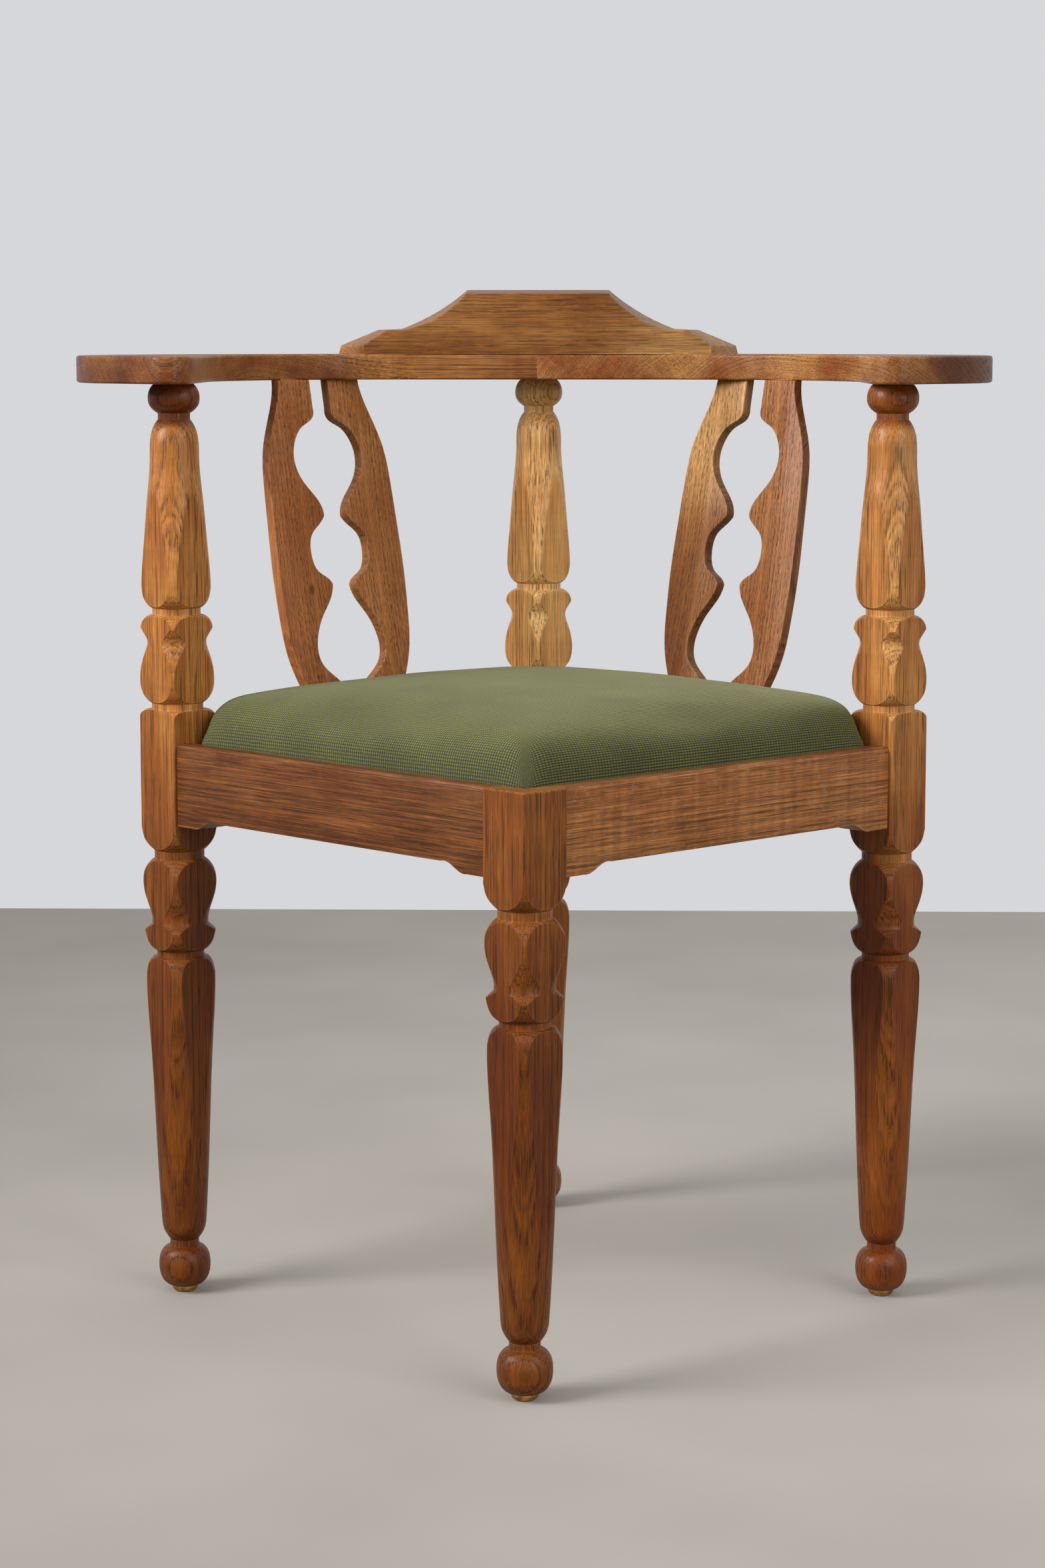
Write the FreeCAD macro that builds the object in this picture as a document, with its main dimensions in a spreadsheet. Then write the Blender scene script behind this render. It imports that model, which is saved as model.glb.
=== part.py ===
import FreeCAD, Part
import math
import os

from FreeCAD import Placement, Rotation, Vector

# Corner chair: a square of four seat rails stands cornerwise on one short leg in front and
# three tall posts that carry a horseshoe arm rail with a crest on its back. A drop-in seat
# lies in the rebate of the rails. Seen from the front, +X is to the right, +Y points to the
# back post and +Z is up. The origin is on the floor under the middle of the seat square.

os.makedirs("parts", exist_ok=True)
doc = FreeCAD.newDocument("CornerChair")

# Driving sizes in millimetres, one alias each.
sizes = {
    "leg_spacing": 386.0,
    "stock": 42.0,
    "arris": 1.0,
    "block_bottom": 350.0,
    "block_top": 459.5,
    "turning_length": 101.5,
    "foot_height": 59.0,
    "rail_top": 435.0,
    "rail_height": 56.5,
    "rail_thickness": 26.0,
    "rail_setback": 3.0,
    "rail_edge_round": 2.4,
    "bracket_drop": 6.5,
    "bracket_length": 19.0,
    "ogee_length": 27.0,
    "rim_width": 14.0,
    "rebate_depth": 12.0,
    "tenon_length": 20.0,
    "tenon_thickness": 9.0,
    "tenon_height": 38.0,
    "tenon_lift": 5.5,
    "arm_underside": 708.5,
    "arm_thickness": 20.5,
    "arm_inside_side_post": 22.94,
    "arm_inside_back_post": 72.94,
    "arm_width": 101.0,
    "arm_inner_radius": 160.0,
    "arm_nose": 114.0,
    "arm_nose_round": 18.0,
    "arm_heel_round": 120.0,
    "arm_edge_round": 2.2,
    "post_pin_radius": 8.0,
    "post_pin_length": 14.0,
    "crest_depth": 46.0,
    "crest_height": 52.5,
    "crest_length": 331.0,
    "crest_skew": 23.7,
    "splat_thickness": 9.0,
    "splat_pair_width": 132.6,
    "splat_foot_offset": 10.5,
    "splat_head_offset": 62.0,
    "tongue_thickness": 6.0,
    "tongue_length": 8.0,
    "tongue_shoulder": 4.0,
    "glide_height": 5.6,
    "glide_radius": 10.0,
    "nail_radius": 1.6,
    "nail_length": 16.0,
    "block_leg": 66.0,
    "block_thickness": 24.0,
    "block_clearance": 0.3,
    "screw_radius": 2.0,
    "screw_head_radius": 4.0,
    "screw_length": 34.0,
    "screw_point": 6.0,
    "counterbore_radius": 4.6,
    "crest_screw_inner": 45.0,
    "crest_screw_outer": 100.0,
    "dowel_radius": 4.0,
    "dowel_length": 50.0,
    "dowel_setback": 21.0,
    "dowel_pitch": 26.0,
    "seat_clearance": 0.3,
    "seat_gap": 1.5,
    "cloth": 1.2,
    "seat_crown": 476.0,
    "seat_crown_rise": 10.0,
    "seat_bulge": 3.0,
    "seat_lip": 34.0,
    "seat_bar_width": 48.0,
    "seat_bar_thickness": 18.0,
    "web_width": 50.0,
    "web_thickness": 1.2,
    "web_pitch": 86.0,
    "web_end": 10.0,
    "tack_head_radius": 2.8,
    "tack_head_height": 0.8,
    "tack_radius": 0.7,
    "tack_length": 9.0,
    "tack_setback": 20.0,
    "tack_pitch": 35.0,
    "web_tack_setback": 8.0,
    "web_tack_pitch": 16.0,
}

sheet = doc.addObject("Spreadsheet::Sheet", "Sizes")
for row, (alias, value) in enumerate(sizes.items(), start=1):
    sheet.set("A%d" % row, alias)
    sheet.set("B%d" % row, str(value))
    sheet.setAlias("B%d" % row, alias)
doc.recompute()


def size(alias):
    return float(getattr(sheet, alias))


# Places that follow from the driving sizes.
half_square = size("leg_spacing") / 2
corner_reach = half_square * math.sqrt(2)
half_stock = size("stock") / 2
rail_outer = half_square + half_stock - size("rail_setback")
rail_inner = rail_outer - size("rail_thickness")
rail_middle = (rail_outer + rail_inner) / 2
rim_inner = rail_outer - size("rim_width")
rail_shoulder = half_square - half_stock
rail_top = size("rail_top")
rail_bottom = rail_top - size("rail_height")
ledge = rail_top - size("rebate_depth")
arm_underside = size("arm_underside")
arm_top = arm_underside + size("arm_thickness")
arm_inner_side = corner_reach - size("arm_inside_side_post")
arm_inner_back = corner_reach - size("arm_inside_back_post")

# The corners of the seat square and the turn that brings each leg's outer corner outwards.
corners = {
    "front": (Vector(0, -corner_reach, 0), -45),
    "right": (Vector(corner_reach, 0, 0), 45),
    "back": (Vector(0, corner_reach, 0), 135),
    "left": (Vector(-corner_reach, 0, 0), 225),
}
# Each rail is drawn along x with its outer face towards -y and then turned to its side.
rail_turns = {"front_left": -45, "front_right": 45, "back_right": 135, "back_left": -135}

# Small margin by which a cutting outline passes the face that it cuts.
over = 1.0
kept = []


def keep(thing, label):
    thing.Label = label
    kept.append(thing)
    return thing


def turned_about_z(point, angle):
    return Placement(point, Rotation(Vector(0, 0, 1), angle))


square_turn = turned_about_z(Vector(0, 0, 0), -45)


def flat(x, y):
    return Vector(x, y, 0)


def lines(points):
    ends = points[1:] + points[:1]
    return [Part.LineSegment(flat(*a), flat(*b)) for a, b in zip(points, ends)]


def rectangle(x0, y0, x1, y1):
    return lines([(x0, y0), (x1, y0), (x1, y1), (x0, y1)])


def circle(x, y, radius):
    return [Part.Circle(flat(x, y), Vector(0, 0, 1), radius)]


def run(points):
    # An open run through its points: straight through two, a smooth curve through more.
    if len(points) == 2:
        return Part.LineSegment(flat(*points[0]), flat(*points[1]))
    curve = Part.BSplineCurve()
    curve.interpolate([flat(*point) for point in points])
    return curve


def chain(points):
    return [run([a, b]) for a, b in zip(points, points[1:])]


def rounded(points):
    # A closed outline through corner points, each given with the radius that rounds it.
    geometry = []
    ends = []
    count = len(points)
    for index in range(count):
        here = flat(*points[index][:2])
        radius = points[index][2]
        before = (flat(*points[index - 1][:2]) - here).normalize()
        after = (flat(*points[(index + 1) % count][:2]) - here).normalize()
        if radius == 0:
            ends.append((here, here))
            continue
        half_angle = before.getAngle(after) / 2
        inward = (before + after).normalize()
        centre = here + inward * (radius / math.sin(half_angle))
        reach = radius / math.tan(half_angle)
        ends.append((here + before * reach, here + after * reach))
        geometry.append(Part.Arc(ends[-1][0], centre - inward * radius, ends[-1][1]))
    for index in range(count):
        start = ends[index][1]
        stop = ends[(index + 1) % count][0]
        geometry.append(Part.LineSegment(start, stop))
    return geometry


def mirrored(points):
    return [(-x, y) for x, y in reversed(points)]


# Features of a body. A lift is an expression for the height of a sketch above its plane.
def add_sketch(body, name, role, geometry, lift=None):
    sketch = body.newObject("Sketcher::SketchObject", name)
    plane = next(thing for thing in body.Origin.OriginFeatures if thing.Role == role)
    sketch.AttachmentSupport = [(plane, "")]
    sketch.MapMode = "FlatFace"
    if lift:
        sketch.setExpression("AttachmentOffset.Base.z", lift)
    for piece in geometry:
        sketch.addGeometry(piece, False)
    return sketch


def add_pad(body, sketch, length, both_sides=False, reverse=False):
    pad = body.newObject("PartDesign::Pad", "Pad")
    pad.Profile = sketch
    pad.setExpression("Length", length)
    pad.Midplane = both_sides
    pad.Reversed = reverse
    doc.recompute()
    return pad


def add_pocket(body, sketch, length, reverse=False):
    before = body.Shape.Volume
    pocket = body.newObject("PartDesign::Pocket", "Pocket")
    pocket.Profile = sketch
    pocket.setExpression("Length", length)
    pocket.Reversed = reverse
    doc.recompute()
    if pocket.Shape.Volume >= before:
        raise RuntimeError("%s of %s cuts nothing" % (sketch.Name, body.Name))
    return pocket


def ease(body, kind, picker, amount):
    base = body.Tip
    names = ["Edge%d" % number for number, edge in enumerate(base.Shape.Edges, start=1) if picker(edge)]
    feature = body.newObject("PartDesign::%s" % kind, kind)
    feature.Base = (base, names)
    feature.setExpression("Radius" if kind == "Fillet" else "Size", amount)
    doc.recompute()
    return feature


def turn_full(body, kind, name, outline):
    sketch = add_sketch(body, name + "_outline", "XZ_Plane", outline)
    turning = body.newObject("PartDesign::%s" % kind, name)
    turning.Profile = sketch
    turning.ReferenceAxis = (sketch, ["V_Axis"])
    turning.Angle = 360
    doc.recompute()
    return turning


def cut_to_fit(label, base, tools):
    # The piece is the base with the room for everything that is let into it taken out.
    base.Label = label + "_blank"
    together = doc.addObject("Part::Compound", label + "_room")
    together.Links = tools
    cut = doc.addObject("Part::Cut", label)
    cut.Base = base
    cut.Tool = together
    doc.recompute()
    return keep(cut, label)


# Turned legs. A turning is radius against height, for stock of the width it was drawn at.
# It takes the corners off the square stock, and where it is fatter than half the stock the
# four flats stay, with an arched edge. Heights are measured from the square block, from the
# arm's underside and from the floor, and the tapers between them take up the rest.
drawn_stock = 42.0
drawn_length = 101.5
drawn_foot = 59.0
girth = size("stock") / drawn_stock
stretch = size("turning_length") / drawn_length
block_top = size("block_top")
block_bottom = size("block_bottom")


def above(height):
    return block_top + height * stretch


def below(height):
    return block_bottom - height * stretch


def under_arm(height):
    return arm_underside - height * stretch


def foot(height):
    return height * size("foot_height") / drawn_foot


def upper_taper(share):
    return above(drawn_length) + share * (under_arm(36.5) - above(drawn_length))


def foot_taper(share):
    return below(100.0) + share * (foot(drawn_foot) - below(100.0))


upper_turning = [
    [(31.5, above(-8.9)), (29.7, above(-7.9)), (28.6, above(-3.9)), (25.6, above(-0.9)),
     (21.6, above(0))],
    [(21.6, above(0)), (19.7, above(0))],
    [(19.7, above(0)), (19.7, above(5.0))],
    [(19.7, above(5.0)), (22.4, above(7.0)), (26.4, above(12.6)), (28.4, above(24.0)),
     (26.9, above(36.0)), (23.6, above(46.6)), (22.5, above(52.0)), (23.3, above(55.4))],
    [(23.3, above(55.4)), (27.5, above(62.6))],
    [(27.5, above(62.6)), (26.8, above(66.5)), (23.5, above(71.0)), (19.4, above(72.9))],
    [(19.4, above(72.9)), (18.5, above(72.9))],
    [(18.5, above(72.9)), (18.5, above(77.9))],
    [(18.5, above(77.9)), (22.4, above(81.0)), (24.9, above(85.4)), (26.2, above(91.0)),
     (26.3, upper_taper(0)), (24.1, upper_taper(0.245)), (21.7, upper_taper(0.505)),
     (18.8, upper_taper(0.82)), (17.1, upper_taper(1)), (15.6, under_arm(32.6)),
     (12.3, under_arm(27.6))],
    [(12.3, under_arm(27.6)), (12.3, under_arm(22.9))],
    [(12.3, under_arm(22.9)), (16.4, under_arm(19.8)), (19.1, under_arm(15.8)),
     (19.8, under_arm(11.4)), (19.0, under_arm(6.4)), (14.4, under_arm(0))],
]

lower_turning = [
    [(31.5, below(-20.0)), (29.6, below(-18.9)), (28.2, below(-14.4)), (25.3, below(-7.0)),
     (21.4, below(-2.4)), (19.2, below(-0.4))],
    [(19.2, below(-0.4)), (19.2, below(5.7))],
    [(19.2, below(5.7)), (23.6, below(9.6)), (27.3, below(16.6)), (28.2, below(22.6)),
     (26.9, below(33.7)), (23.2, below(45.4)), (21.6, below(53.0)), (22.0, below(56.9))],
    [(22.0, below(56.9)), (27.3, below(62.0))],
    [(27.3, below(62.0)), (26.5, below(66.1)), (24.3, below(72.3)), (19.6, below(77.3))],
    [(19.6, below(77.3)), (18.2, below(77.3))],
    [(18.2, below(77.3)), (18.2, below(82.2))],
    [(18.2, below(82.2)), (22.6, below(84.2)), (25.2, below(89.4)), (26.4, below(96.0)),
     (26.5, foot_taper(0)), (24.1, foot_taper(0.26)), (21.5, foot_taper(0.555)),
     (17.4, foot_taper(1)), (16.1, foot(50.5)), (13.9, foot(46.0)), (11.2, foot(42.3))],
    [(11.2, foot(42.3)), (11.4, foot(37.4))],
    [(11.4, foot(37.4)), (16.6, foot(34.4)), (19.6, foot(27.8)), (20.1, foot(21.5)),
     (18.9, foot(13.6)), (16.0, foot(8.4)), (11.8, size("glide_height"))],
]
clear_of_stock = half_stock * math.sqrt(2) * 1.2


def turn_away(body, name, runs, end_radius, end_height):
    # A groove from the turned outline out past the corners of the stock.
    scaled = [[(radius * girth, height) for radius, height in points] for points in runs]
    start = scaled[0][0]
    last = scaled[-1][-1]
    border = [last, (end_radius, last[1]), (end_radius, end_height), (clear_of_stock, end_height),
              (clear_of_stock, start[1]), start]
    border = [point for index, point in enumerate(border) if index == 0 or point != border[index - 1]]
    turn_full(body, "Groove", name, [run(points) for points in scaled] + chain(border))


def leg_stock(name, top):
    body = doc.addObject("PartDesign::Body", name)
    outline = rectangle(-half_stock, -half_stock, half_stock, half_stock)
    square = add_sketch(body, "square", "XY_Plane", outline, "Sizes.glide_height")
    add_pad(body, square, top + " - Sizes.glide_height")
    tall = size("block_top") - size("block_bottom")
    ease(body, "Chamfer", lambda edge: edge.BoundBox.ZLength > tall, "Sizes.arris")
    return body


def finish_foot(body):
    # The lower turning, a mortise for each of the two rails and the hole of the glide's nail.
    # In a leg's own axes its outer corner is at +x, -y; one rail comes in through the -x side
    # and the other through the +y side, both nearer the leg's outer faces than its middle.
    toe = lower_turning[-1][-1][0] * girth
    turn_away(body, "lower_turning", lower_turning, toe, size("glide_height") - over)
    offset = rail_middle - half_square
    low = offset - size("tenon_thickness") / 2
    high = offset + size("tenon_thickness") / 2
    end = half_stock - size("tenon_length")
    mouth = half_stock + over
    for name, outline in (("mortise_x", rectangle(-mouth, -high, -end, -low)),
                          ("mortise_y", rectangle(low, end, high, mouth))):
        sketch = add_sketch(body, name, "XY_Plane", outline,
                            "Sizes.rail_top - Sizes.rail_height + Sizes.tenon_lift")
        add_pocket(body, sketch, "Sizes.tenon_height", reverse=True)
    hole = add_sketch(body, "nail_hole", "XY_Plane", circle(0, 0, size("nail_radius")))
    add_pocket(body, hole, "Sizes.glide_height + Sizes.nail_length", reverse=True)


def make_post(corner):
    name = corner + "_post"
    body = leg_stock(name, "Sizes.arm_underside + Sizes.post_pin_length")
    pin_end = arm_underside + size("post_pin_length") + over
    turn_away(body, "upper_turning", upper_turning, size("post_pin_radius"), pin_end)
    finish_foot(body)
    body.Placement = turned_about_z(*corners[corner])
    keep(body, name)


def make_front_leg():
    body = leg_stock("front_leg", "Sizes.rail_top")
    finish_foot(body)
    rim = rim_inner - half_square
    outside = half_stock + over
    corner = rectangle(-outside, -rim, rim, outside)
    rebate = add_sketch(body, "rebate", "XY_Plane", corner, "Sizes.rail_top")
    add_pocket(body, rebate, "Sizes.rebate_depth")
    near = half_stock - size("arris") * 1.1

    def outer_top(edge):
        box = edge.BoundBox
        return box.ZMin > rail_top - 0.01 and (box.XMin > near or box.YMax < -near)

    ease(body, "Chamfer", outer_top, "Sizes.arris")
    body.Placement = turned_about_z(*corners["front"])
    keep(body, "front_leg")


def make_glide(corner):
    # A low button with a nail that is driven up into the foot.
    radius = size("glide_radius")
    nail = size("nail_radius")
    top = size("glide_height")
    tip = top + size("nail_length")
    rest = radius * 0.6
    wall = top * 0.7
    body = doc.addObject("PartDesign::Body", corner + "_glide")
    edge = Part.Arc(flat(rest, 0), flat(radius * 0.91, wall * 0.45), flat(radius, wall))
    straight = chain([(radius, wall), (radius, top), (nail, top), (nail, tip - 2 * nail), (0, tip),
                      (0, 0), (rest, 0)])
    turn_full(body, "Revolution", "button", [edge] + straight)
    body.Placement = turned_about_z(*corners[corner])
    keep(body, corner + "_glide")


make_front_leg()
for corner in ("left", "right", "back"):
    make_post(corner)
for corner in corners:
    make_glide(corner)


# Seat rails: a bracketed board with a rebate for the seat and a tenon on each end.
def rail_outline():
    lowest = rail_bottom - size("bracket_drop")
    bracket = rail_shoulder - size("bracket_length")
    ogee = bracket - size("ogee_length")
    hollow = size("ogee_length") * 0.35
    sweep = [(ogee, rail_bottom), (ogee + hollow, rail_bottom - size("bracket_drop") * 0.12),
             (bracket - hollow, lowest + size("bracket_drop") * 0.25), (bracket, lowest)]
    right_end = chain([(bracket, lowest), (rail_shoulder, lowest), (rail_shoulder, rail_top)])
    left_end = chain([(-rail_shoulder, rail_top), (-rail_shoulder, lowest), (-bracket, lowest)])
    long_edges = [run([(rail_shoulder, rail_top), (-rail_shoulder, rail_top)]),
                  run([(-ogee, rail_bottom), (ogee, rail_bottom)])]
    return [run(sweep), run(mirrored(sweep))] + right_end + left_end + long_edges


def make_rail(name):
    body = doc.addObject("PartDesign::Body", name + "_board")
    elevation = add_sketch(body, "elevation", "XZ_Plane", rail_outline(),
                           "Sizes.leg_spacing / 2 + Sizes.stock / 2 - Sizes.rail_setback")
    add_pad(body, elevation, "Sizes.rail_thickness", reverse=True)
    end = rail_shoulder + over
    strip = rectangle(-end, -rim_inner, end, over - rail_inner)
    rebate = add_sketch(body, "rebate", "XY_Plane", strip, "Sizes.rail_top")
    add_pocket(body, rebate, "Sizes.rebate_depth")

    def outer_arris(edge):
        box = edge.BoundBox
        return box.ZMin > rail_top - 0.01 and box.YMax < 0.01 - rail_outer

    ease(body, "Fillet", outer_arris, "Sizes.rail_edge_round")
    half_thick = size("tenon_thickness") / 2
    reach = rail_shoulder + size("tenon_length")
    for side in (-1, 1):
        root = side * (rail_shoulder - over)
        plan = rectangle(root, -rail_middle - half_thick, side * reach, -rail_middle + half_thick)
        tenon = add_sketch(body, "tenon", "XY_Plane", plan,
                           "Sizes.rail_top - Sizes.rail_height + Sizes.tenon_lift")
        add_pad(body, tenon, "Sizes.tenon_height")
    body.Placement = turned_about_z(Vector(0, 0, 0), rail_turns[name])
    return body


# The arm rail: two flat boards that meet in a butt joint over the back post.
def make_arm(side):
    inner = arm_inner_side
    outer = inner + size("arm_width")
    back = arm_inner_back
    bend = size("arm_inner_radius")
    nose = -size("arm_nose")
    body = doc.addObject("PartDesign::Body", "arm_board")
    # The heel is rounded, but not past the straight stretch that the bend leaves beside it.
    heel = nose + size("arm_width")
    beside_heel = back - bend - heel
    heel_turn = math.radians(45)
    heel_round = min(size("arm_heel_round"), 0.95 * beside_heel / math.tan(heel_turn / 2))
    outline = rounded([
        (0, back, 0),
        (side * inner, back, bend),
        (side * inner, nose, size("arm_nose_round")),
        (side * outer, heel, heel_round),
        (side * outer, back + size("arm_width"), bend + size("arm_width")),
        (0, back + size("arm_width"), 0),
    ])
    plan = add_sketch(body, "plan", "XY_Plane", outline, "Sizes.arm_underside")
    add_pad(body, plan, "Sizes.arm_thickness")

    def level_off_seam(edge):
        box = edge.BoundBox
        return box.ZLength < 0.01 and max(abs(box.XMin), abs(box.XMax)) > 0.01

    ease(body, "Fillet", level_off_seam, "Sizes.arm_edge_round")
    for x, y in ((side * corner_reach, 0), (0, corner_reach)):
        pin = add_sketch(body, "pin_hole", "XY_Plane", circle(x, y, size("post_pin_radius")),
                         "Sizes.arm_underside")
        add_pocket(body, pin, "Sizes.post_pin_length", reverse=True)
    return body


# The crest stands on the back of the arms. Its ends are sawn askew, so that its back is
# longer than its front, and its top slopes up a little to the back.
def crest_section(drawn, half_length):
    end, shoulder, step, dip, hollow, top = [
        (x * half_length, arm_top + z * size("crest_height")) for x, z in drawn]
    right = [run([dip, hollow, top])] + chain([end, shoulder, step, dip])
    mirror = [(-x, z) for x, z in (end, shoulder, step, dip, hollow, top)]
    left = [run([mirror[3], mirror[4], mirror[5]])] + chain(mirror[:4])
    return right + left + [run([mirror[5], top]), run([mirror[0], end])]


def make_crest():
    front = [(0.998, 0.0), (1.0, 0.133), (0.871, 0.366), (0.769, 0.373), (0.55, 0.6), (0.409, 0.933)]
    back = [(1.0, 0.0), (0.988, 0.133), (0.801, 0.377), (0.683, 0.392), (0.498, 0.67), (0.353, 1.0)]
    half_back = size("crest_length") / 2
    half_front = half_back - size("crest_skew")
    body = doc.addObject("PartDesign::Body", "crest_board")
    faces = []
    for name, drawn, half_length, depth in (("front_face", front, half_front, arm_inner_back),
                                            ("back_face", back, half_back,
                                             arm_inner_back + size("crest_depth"))):
        face = add_sketch(body, name, "XZ_Plane", crest_section(drawn, half_length))
        face.AttachmentOffset = Placement(Vector(0, 0, -depth), Rotation())
        faces.append(face)
    loft = body.newObject("PartDesign::AdditiveLoft", "Loft")
    loft.Profile = faces[0]
    loft.Sections = faces[1:]
    loft.Ruled = True
    doc.recompute()
    return body


# Splats: two mirrored slats stand on each back rail and lean out to the arm. The outline is
# half of a pair, as distance from the pair's middle, in mm for a pair of the drawn width,
# against the share of the height.
splat_outer = [(42.0, 1.0), (44.0, 0.957), (52.5, 0.877), (60.4, 0.797), (63.6, 0.706),
               (65.2, 0.574), (66.3, 0.431), (65.0, 0.307), (62.0, 0.208), (55.0, 0.13),
               (45.6, 0.053), (42.3, 0.0)]
splat_head = [(9.5, 1.0), (9.5, 0.918)]
splat_upper_bay = [(9.5, 0.918), (11.6, 0.885), (23.5, 0.86), (31.6, 0.826), (35.4, 0.786),
                   (34.7, 0.744), (27.0, 0.692), (17.0, 0.65), (12.4, 0.617), (11.9, 0.6)]
splat_middle_bay = [(11.9, 0.6), (18.0, 0.576), (27.5, 0.545), (30.5, 0.497), (25.0, 0.439),
                    (14.6, 0.413), (12.0, 0.399)]
splat_lower_bay = [(12.0, 0.399), (15.6, 0.362), (26.5, 0.309), (34.6, 0.249), (36.2, 0.213),
                   (33.6, 0.174), (24.0, 0.138), (15.0, 0.108), (10.9, 0.06), (10.2, 0.0)]
lean_run = size("splat_head_offset") - size("splat_foot_offset")
splat_height = arm_underside - rail_top
splat_length = math.hypot(lean_run, splat_height)
lean = math.degrees(math.atan2(lean_run, splat_height))
drawn_pair_width = 132.6
splat_spread = size("splat_pair_width") / drawn_pair_width


def lean_sketch(body, name, geometry):
    # A sketch in the slat's middle plane, measured up the lean from the rail's top.
    sketch = add_sketch(body, name, "XZ_Plane", geometry)
    root = Vector(0, rail_top, half_square + size("splat_foot_offset"))
    sketch.AttachmentOffset = Placement(root, Rotation(Vector(1, 0, 0), lean))
    return sketch


def make_splat(name, rail, side):
    body = doc.addObject("PartDesign::Body", name)
    spare = size("splat_thickness")

    def place(point):
        return (side * point[0] * splat_spread, point[1] * splat_length)

    outer = [place(point) for point in splat_outer]
    inner = [[place(point) for point in points]
             for points in (splat_head, splat_upper_bay, splat_middle_bay, splat_lower_bay)]
    head = chain([inner[0][0], (inner[0][0][0], splat_length + spare),
                  (outer[0][0], splat_length + spare), outer[0]])
    heel = chain([outer[-1], (outer[-1][0], -spare), (inner[-1][-1][0], -spare), inner[-1][-1]])
    face = [run(outer)] + [run(points) for points in inner] + head + heel
    add_pad(body, lean_sketch(body, "face", face), "Sizes.splat_thickness", both_sides=True)

    around = rectangle(-rail_shoulder, -2 * rail_outer, rail_shoulder, 0)
    top = add_sketch(body, "level_head", "XY_Plane", around, "Sizes.arm_underside")
    add_pocket(body, top, "4 * Sizes.splat_thickness", reverse=True)
    bottom = add_sketch(body, "level_foot", "XY_Plane", around, "Sizes.rail_top")
    add_pocket(body, bottom, "4 * Sizes.splat_thickness")
    step = size("tongue_shoulder")
    root = size("tongue_length") / 2
    for near, far, low, high in (
            (inner[0][0][0], outer[0][0], splat_length - root, splat_length + size("tongue_length")),
            (inner[-1][-1][0], outer[-1][0], -size("tongue_length"), root)):
        tongue = rectangle(near + side * step, low, far - side * step, high)
        add_pad(body, lean_sketch(body, "tongue", tongue), "Sizes.tongue_thickness", both_sides=True)
    body.Placement = turned_about_z(Vector(0, 0, 0), rail_turns[rail])
    return keep(body, name)


splats = {
    "left": [make_splat("left_front_splat", "back_left", 1), make_splat("left_back_splat", "back_left", -1)],
    "right": [make_splat("right_front_splat", "back_right", -1), make_splat("right_back_splat", "back_right", 1)],
}


# Corner blocks behind the rails, each notched round its leg. In the leg's own axes the
# chair's middle lies towards -x, +y.
wall = half_square - rail_inner


def make_corner_block(corner):
    body = doc.addObject("PartDesign::Body", corner + "_block_board")
    leg = size("block_leg")
    clear = half_stock + size("block_clearance")
    plan = lines([(-leg, wall), (-clear, wall), (-clear, clear), (-wall, clear), (-wall, leg)])
    sketch = add_sketch(body, "plan", "XY_Plane", plan,
                        "Sizes.rail_top - Sizes.rebate_depth - Sizes.block_thickness")
    add_pad(body, sketch, "Sizes.block_thickness")
    body.Placement = turned_about_z(*corners[corner])
    return body


# One countersunk screw, head down, point up, and the copies of it where they are driven.
def make_screw():
    radius = size("screw_radius")
    head = size("screw_head_radius")
    length = size("screw_length")
    body = doc.addObject("PartDesign::Body", "screw_pattern")
    turn_full(body, "Revolution", "screw", chain([
        (0, 0), (head, 0), (radius, head - radius), (radius, length - size("screw_point")),
        (0, length), (0, 0)]))
    return body


def make_tack():
    head = size("tack_head_radius")
    shank = size("tack_radius")
    under_head = size("tack_head_height")
    length = size("tack_length")
    body = doc.addObject("PartDesign::Body", "tack_pattern")
    turn_full(body, "Revolution", "tack", chain([
        (0, 0), (head, 0), (head, under_head), (shank, under_head), (shank, length - 3 * shank),
        (0, length), (0, 0)]))
    return body


def placed_group(label, pattern, placements):
    # Identical small pieces as separate solids in one group.
    thing = doc.addObject("Part::Feature", label)
    copies = []
    for placement in placements:
        copy = pattern.Shape.copy()
        copy.Placement = placement
        copies.append(copy)
    thing.Shape = Part.makeCompound(copies)
    return thing


def pointing(direction):
    return Rotation(Vector(0, 0, 1), direction)


def counterbores(label, placements):
    bores = []
    for placement in placements:
        depth = size("block_leg")
        back = placement.Rotation.multVec(Vector(0, 0, -depth))
        bore = doc.addObject("Part::Cylinder", label)
        bore.setExpression("Radius", "Sizes.counterbore_radius")
        bore.setExpression("Height", "Sizes.block_leg")
        bore.Placement = Placement(placement.Base + back, placement.Rotation)
        bores.append(bore)
    return bores


def block_screw_places(corner):
    # Two screws in each block, each square to one rail, with half their length in the rail.
    frame = turned_about_z(*corners[corner])
    height = ledge - size("block_thickness") / 2
    along = wall + size("block_leg") / 3
    head = wall + size("screw_length") / 2
    places = []
    for start, direction in ((Vector(-along, head, height), Vector(0, -1, 0)),
                             (Vector(-head, along, height), Vector(1, 0, 0))):
        places.append(Placement(frame.multVec(start), frame.Rotation.multiply(pointing(direction))))
    return places


screw_pattern = make_screw()
block_places = {corner: block_screw_places(corner) for corner in corners}
every_block_place = [place for places in block_places.values() for place in places]
corner_block_screws = placed_group("corner_block_screws", screw_pattern, every_block_place)
crest_middle = arm_inner_back + size("crest_depth") / 2
crest_places = [Placement(Vector(side * reach, crest_middle, arm_underside), Rotation())
                for side in (-1, 1) for reach in (size("crest_screw_inner"), size("crest_screw_outer"))]
crest_screws = placed_group("crest_screws", screw_pattern, crest_places)

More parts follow.
